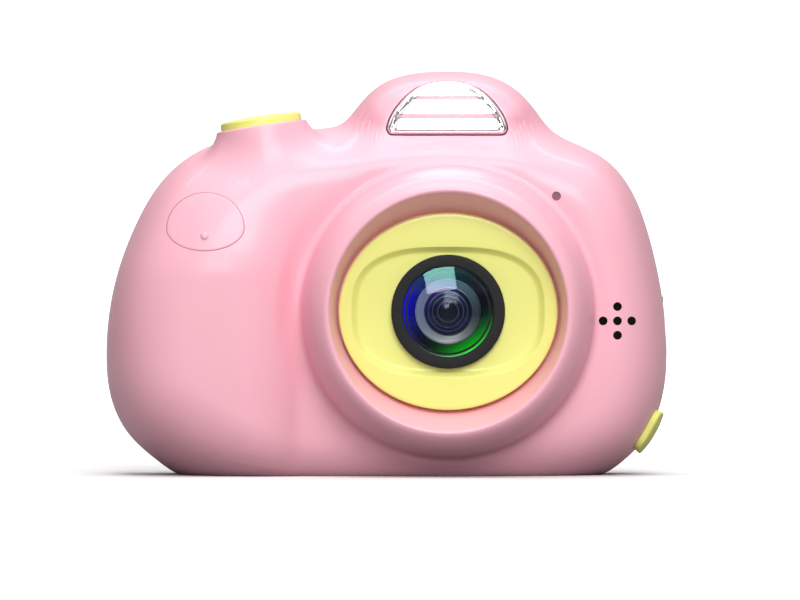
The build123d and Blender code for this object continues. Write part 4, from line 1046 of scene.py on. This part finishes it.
def screen_material():
    """Dark glass with the display's own rectangle faintly visible."""
    material = surface("screen glass", (0.006, 0.006, 0.007), 0.06, grain=120, tint=0.1, coat=0.5,
                       wear=0.03)
    tree = material.node_tree
    shader = tree.nodes["Principled BSDF"]
    split = add(tree, "SeparateXYZ", {"Vector": offset_from(tree, SX, SZ)})
    within = []
    for axis, half in (("X", 20.4 * MM), ("Z", 15.3 * MM)):
        size = add(tree, "Math", {0: split.outputs[axis]}, operation="ABSOLUTE").outputs[0]
        within.append(add(tree, "Math", {0: size, 1: half}, operation="LESS_THAN").outputs[0])
    inside = add(tree, "Math", {0: within[0], 1: within[1]}, operation="MULTIPLY").outputs[0]
    old = shader.inputs["Base Color"].links[0].from_socket
    mix = add(tree, "Mix", {"Factor": inside, "A": old, "B": (0.022, 0.024, 0.030, 1)},
              data_type="RGBA")
    feed(tree, shader, {"Base Color": mix.outputs["Result"]})
    return material


SCREEN = screen_material()
glass_ring = [(0.0, BACK - 0.38), (0.0, BACK + 0.42), (0.12, BACK + 0.56), (0.3, BACK + 0.6)]
sections = [ring3(rect_ring(47 - 2 * i, 35.6 - 2 * i, 2.5 - i, SX, SZ), y) for i, y in glass_ring]
rings("screen_glass", sections, SCREEN, wrap=False, slot="window_glass", node="display_window")

for name, r in KEYS.items():
    x, z = middle(name)[[0, 2]]
    top = BACK + 1.0
    lathe("cap_" + name, [
        (0, top + 0.02, 0), (r * 0.55, top - 0.05, 0), (r, top - 0.25, 0.5), (r, BACK - 2.1, 0),
        (r + 0.5, BACK - 2.1, 0), (r + 0.5, BACK - 2.7, 0), (1.3, BACK - 2.7, 0),
        (1.3, BACK - 3.15, 0), (0.75, BACK - 3.15, 0), (0.75, BACK - 3.8, 0), (0, BACK - 3.8, 0),
    ], YELLOW, (x, 0, z), body="moving_" + name, slot="yellow_plastic", node=name, turns=96)


def pad_key(name, angle):
    """One arrow key with its arrow sunk into the top."""
    top = BACK + 1.0
    sections = []
    for inset, y in ((-0.5, BACK - 2.7), (-0.5, BACK - 2.12), (0, BACK - 2.1), (0, top - 0.5),
                     (0.06, top - 0.25), (0.18, top - 0.1), (0.38, top - 0.02), (0.6, top)):
        sections.append(ring3(quarter(-inset, angle), y))
    key = rings("cap_" + name, sections, YELLOW, wrap=False, body="moving_" + name,
                slot="yellow_plastic", node=name)
    way = np.array([cos(angle), sin(angle)])
    side = np.array([-sin(angle), cos(angle)])
    spot = np.array([pad[0], pad[2]]) + way * 7.8
    arrow = [spot + way * 1.1, spot - way * 0.8 + side * 1.4, spot - way * 0.8 - side * 1.4]
    cut(key, [prism(arrow, top - 0.3, top + 2)])
    dress(key, YELLOW)


for name, angle in ARROWS.items():
    pad_key(name, angle)
for node, material in (("casing_screws", STEEL), ("strap_plate", PINK), ("usb_socket", STEEL),
                       ("memory_card", BLACK)):
    refined(node, material)


# ---------------------------------------------------------------- the port cover
def port_flap():
    """A rubber skin that hugs the casing's lower corner."""
    low, high = span("port_cover")
    rim, inward, _ = outline(1440)
    count = np.arange(len(rim))
    edges = np.repeat(FRONT_EDGE, len(rim) // RAYS)
    away = np.cumsum(np.linalg.norm(np.roll(rim, -1, 0) - rim, axis=1))
    near = np.argmin(np.linalg.norm(rim - (46.0, 7.4), axis=1))
    middle_y, half_y, half_s, corner = (low[1] + high[1]) / 2, (high[1] - low[1]) / 2, 4.0, 2.4
    sections = []
    for shrink, lift in ((0.0, 0.03), (0.0, 0.75), (0.05, 0.92), (0.16, 1.04), (0.32, 1.1),
                         (1.2, 1.14), (2.2, 1.16), (3.0, 1.16)):
        width, length = 2 * (half_s - shrink), 2 * (half_y - shrink)
        spots = []
        for s, dy in rect_ring(width, length, max(corner - shrink, 0.4), 0, 0):
            y = middle_y + dy
            k = np.interp(away[near] - s, away, count)
            i = int(k) % len(rim)
            spot = rim[i] + (rim[(i + 1) % len(rim)] - rim[i]) * (k - int(k))
            share = np.clip((PART - y) / (PART + 14.2), 0, 1)
            sine = share ** (EDGE_POWER / 2)
            round_in = 1 - sqrt(max(1 - sine**2, 0)) ** (2 / EDGE_POWER)
            flat = spot + inward[i] * (np.interp(k, count, edges) * round_in - lift)
            spots.append((flat[0], y, flat[1]))
        sections.append(np.array(spots))
    return sections


low, high = span("usb_socket")
plug = block((high[0] + 0.3, low[1] - 0.4, low[2]), (high[0] + 0.9, high[1] + 0.3, high[2]), 1.2)
plug.name = "port_plug"
dress(plug, RUBBER, "moving_port_cover", angle=40)
rings("port_skin", port_flap(), RUBBER, wrap=False, body="moving_port_cover", slot="yellow_rubber",
      node="port_cover", angle=50)


# ---------------------------------------------------------------- stage, light and camera
def area(name, place, target, size, power, size_y=None):
    """A soft lamp at a place, in metres, turned to a target."""
    lamp = bpy.data.lights.new(name, "AREA")
    lamp.energy, lamp.size = power, size
    if size_y:
        lamp.shape, lamp.size_y = "RECTANGLE", size_y
    thing = bpy.data.objects.new(name, lamp)
    thing.location = place
    thing.rotation_euler = (Vector(target) - Vector(place)).to_track_quat("-Z", "Y").to_euler()
    bpy.context.scene.collection.objects.link(thing)
    return thing


def stage():
    """A pale floor that bends up into a backdrop, with paint that gives little light back."""
    bend = [(1.2 + 0.9 * sin(t), 0.9 - 0.9 * cos(t)) for t in np.linspace(0, pi / 2, 24)]
    line = [(-4.0, 0.0)] + bend + [(2.1, 3.0)]
    points = [(x, y, z) for y, z in line for x in (-4.0, 4.0)]
    faces = [(2 * i, 2 * i + 1, 2 * i + 3, 2 * i + 2) for i in range(len(line) - 1)]
    mesh = bpy.data.meshes.new("floor")
    mesh.from_pydata(points, [], faces)
    floor = bpy.data.objects.new("floor", mesh)
    bpy.context.scene.collection.objects.link(floor)
    for face in mesh.polygons:
        face.use_smooth = True
    paint = surface("floor paint", (0.84, 0.84, 0.84), 0.8, grain=200, tint=0.004, spec=0.0)
    tree = paint.node_tree
    dull = add(tree, "BsdfDiffuse", {"Color": (0.3, 0.3, 0.3, 1)})
    mixed(tree, add(tree, "LightPath").outputs["Is Camera Ray"], dull.outputs["BSDF"],
          tree.nodes["Principled BSDF"].outputs["BSDF"])
    mesh.materials.append(paint)


def studio():
    """A white room that lights softly, and that mirrors see only above a low ceiling line."""
    world = bpy.data.worlds.new("studio")
    bpy.context.scene.world = world
    world.use_nodes = True
    tree = world.node_tree
    ray = add(tree, "LightPath").outputs
    way = add(tree, "TexCoord").outputs["Generated"]
    rise = add(tree, "SeparateXYZ", {"Vector": way}).outputs["Z"]
    ceiling = add(tree, "MapRange", {"Value": rise, "From Min": 0.20, "From Max": 0.36},
                  interpolation_type="SMOOTHSTEP").outputs["Result"]
    mirrored = add(tree, "Math", {0: ray["Is Glossy Ray"], 1: ceiling}, operation="MULTIPLY")
    seen = add(tree, "Math", {0: ray["Is Camera Ray"], 1: mirrored.outputs[0]}, operation="MAXIMUM")
    strength = add(tree, "MapRange", {"Value": seen.outputs[0], "To Min": 0.24, "To Max": 1.0})
    feed(tree, tree.nodes["Background"],
         {"Color": (1, 1, 1, 1), "Strength": strength.outputs["Result"]})


stage()
studio()
area("key", (0.12, -0.80, 0.56), (0, 0, 0.03), 0.5, 6.2)
area("top", (0.0, -0.15, 0.95), (0, 0, 0.03), 0.6, 5.0)
front = area("front", (-0.035, -1.0, 0.242), (0.01, 0, 0.03), 0.20, 1.15, size_y=0.168)
front.rotation_euler.rotate_axis("Z", radians(10))
area("backdrop", (0, 0.75, 1.1), (0, 1.9, 0.1), 1.2, 34.0)
VIEW_DISTANCE, VIEW_WIDTH, SENSOR_MM = 1.2, 0.1394, 36
camera = bpy.data.objects.new("camera", bpy.data.cameras.new("camera"))
bpy.context.scene.collection.objects.link(camera)
bpy.context.scene.camera = camera
camera.location = (0.00235, -VIEW_DISTANCE, 0.0304)
camera.rotation_euler = (radians(90), 0, 0)
camera.data.lens = SENSOR_MM * VIEW_DISTANCE / VIEW_WIDTH
bpy.context.scene.view_settings.view_transform = "Standard"
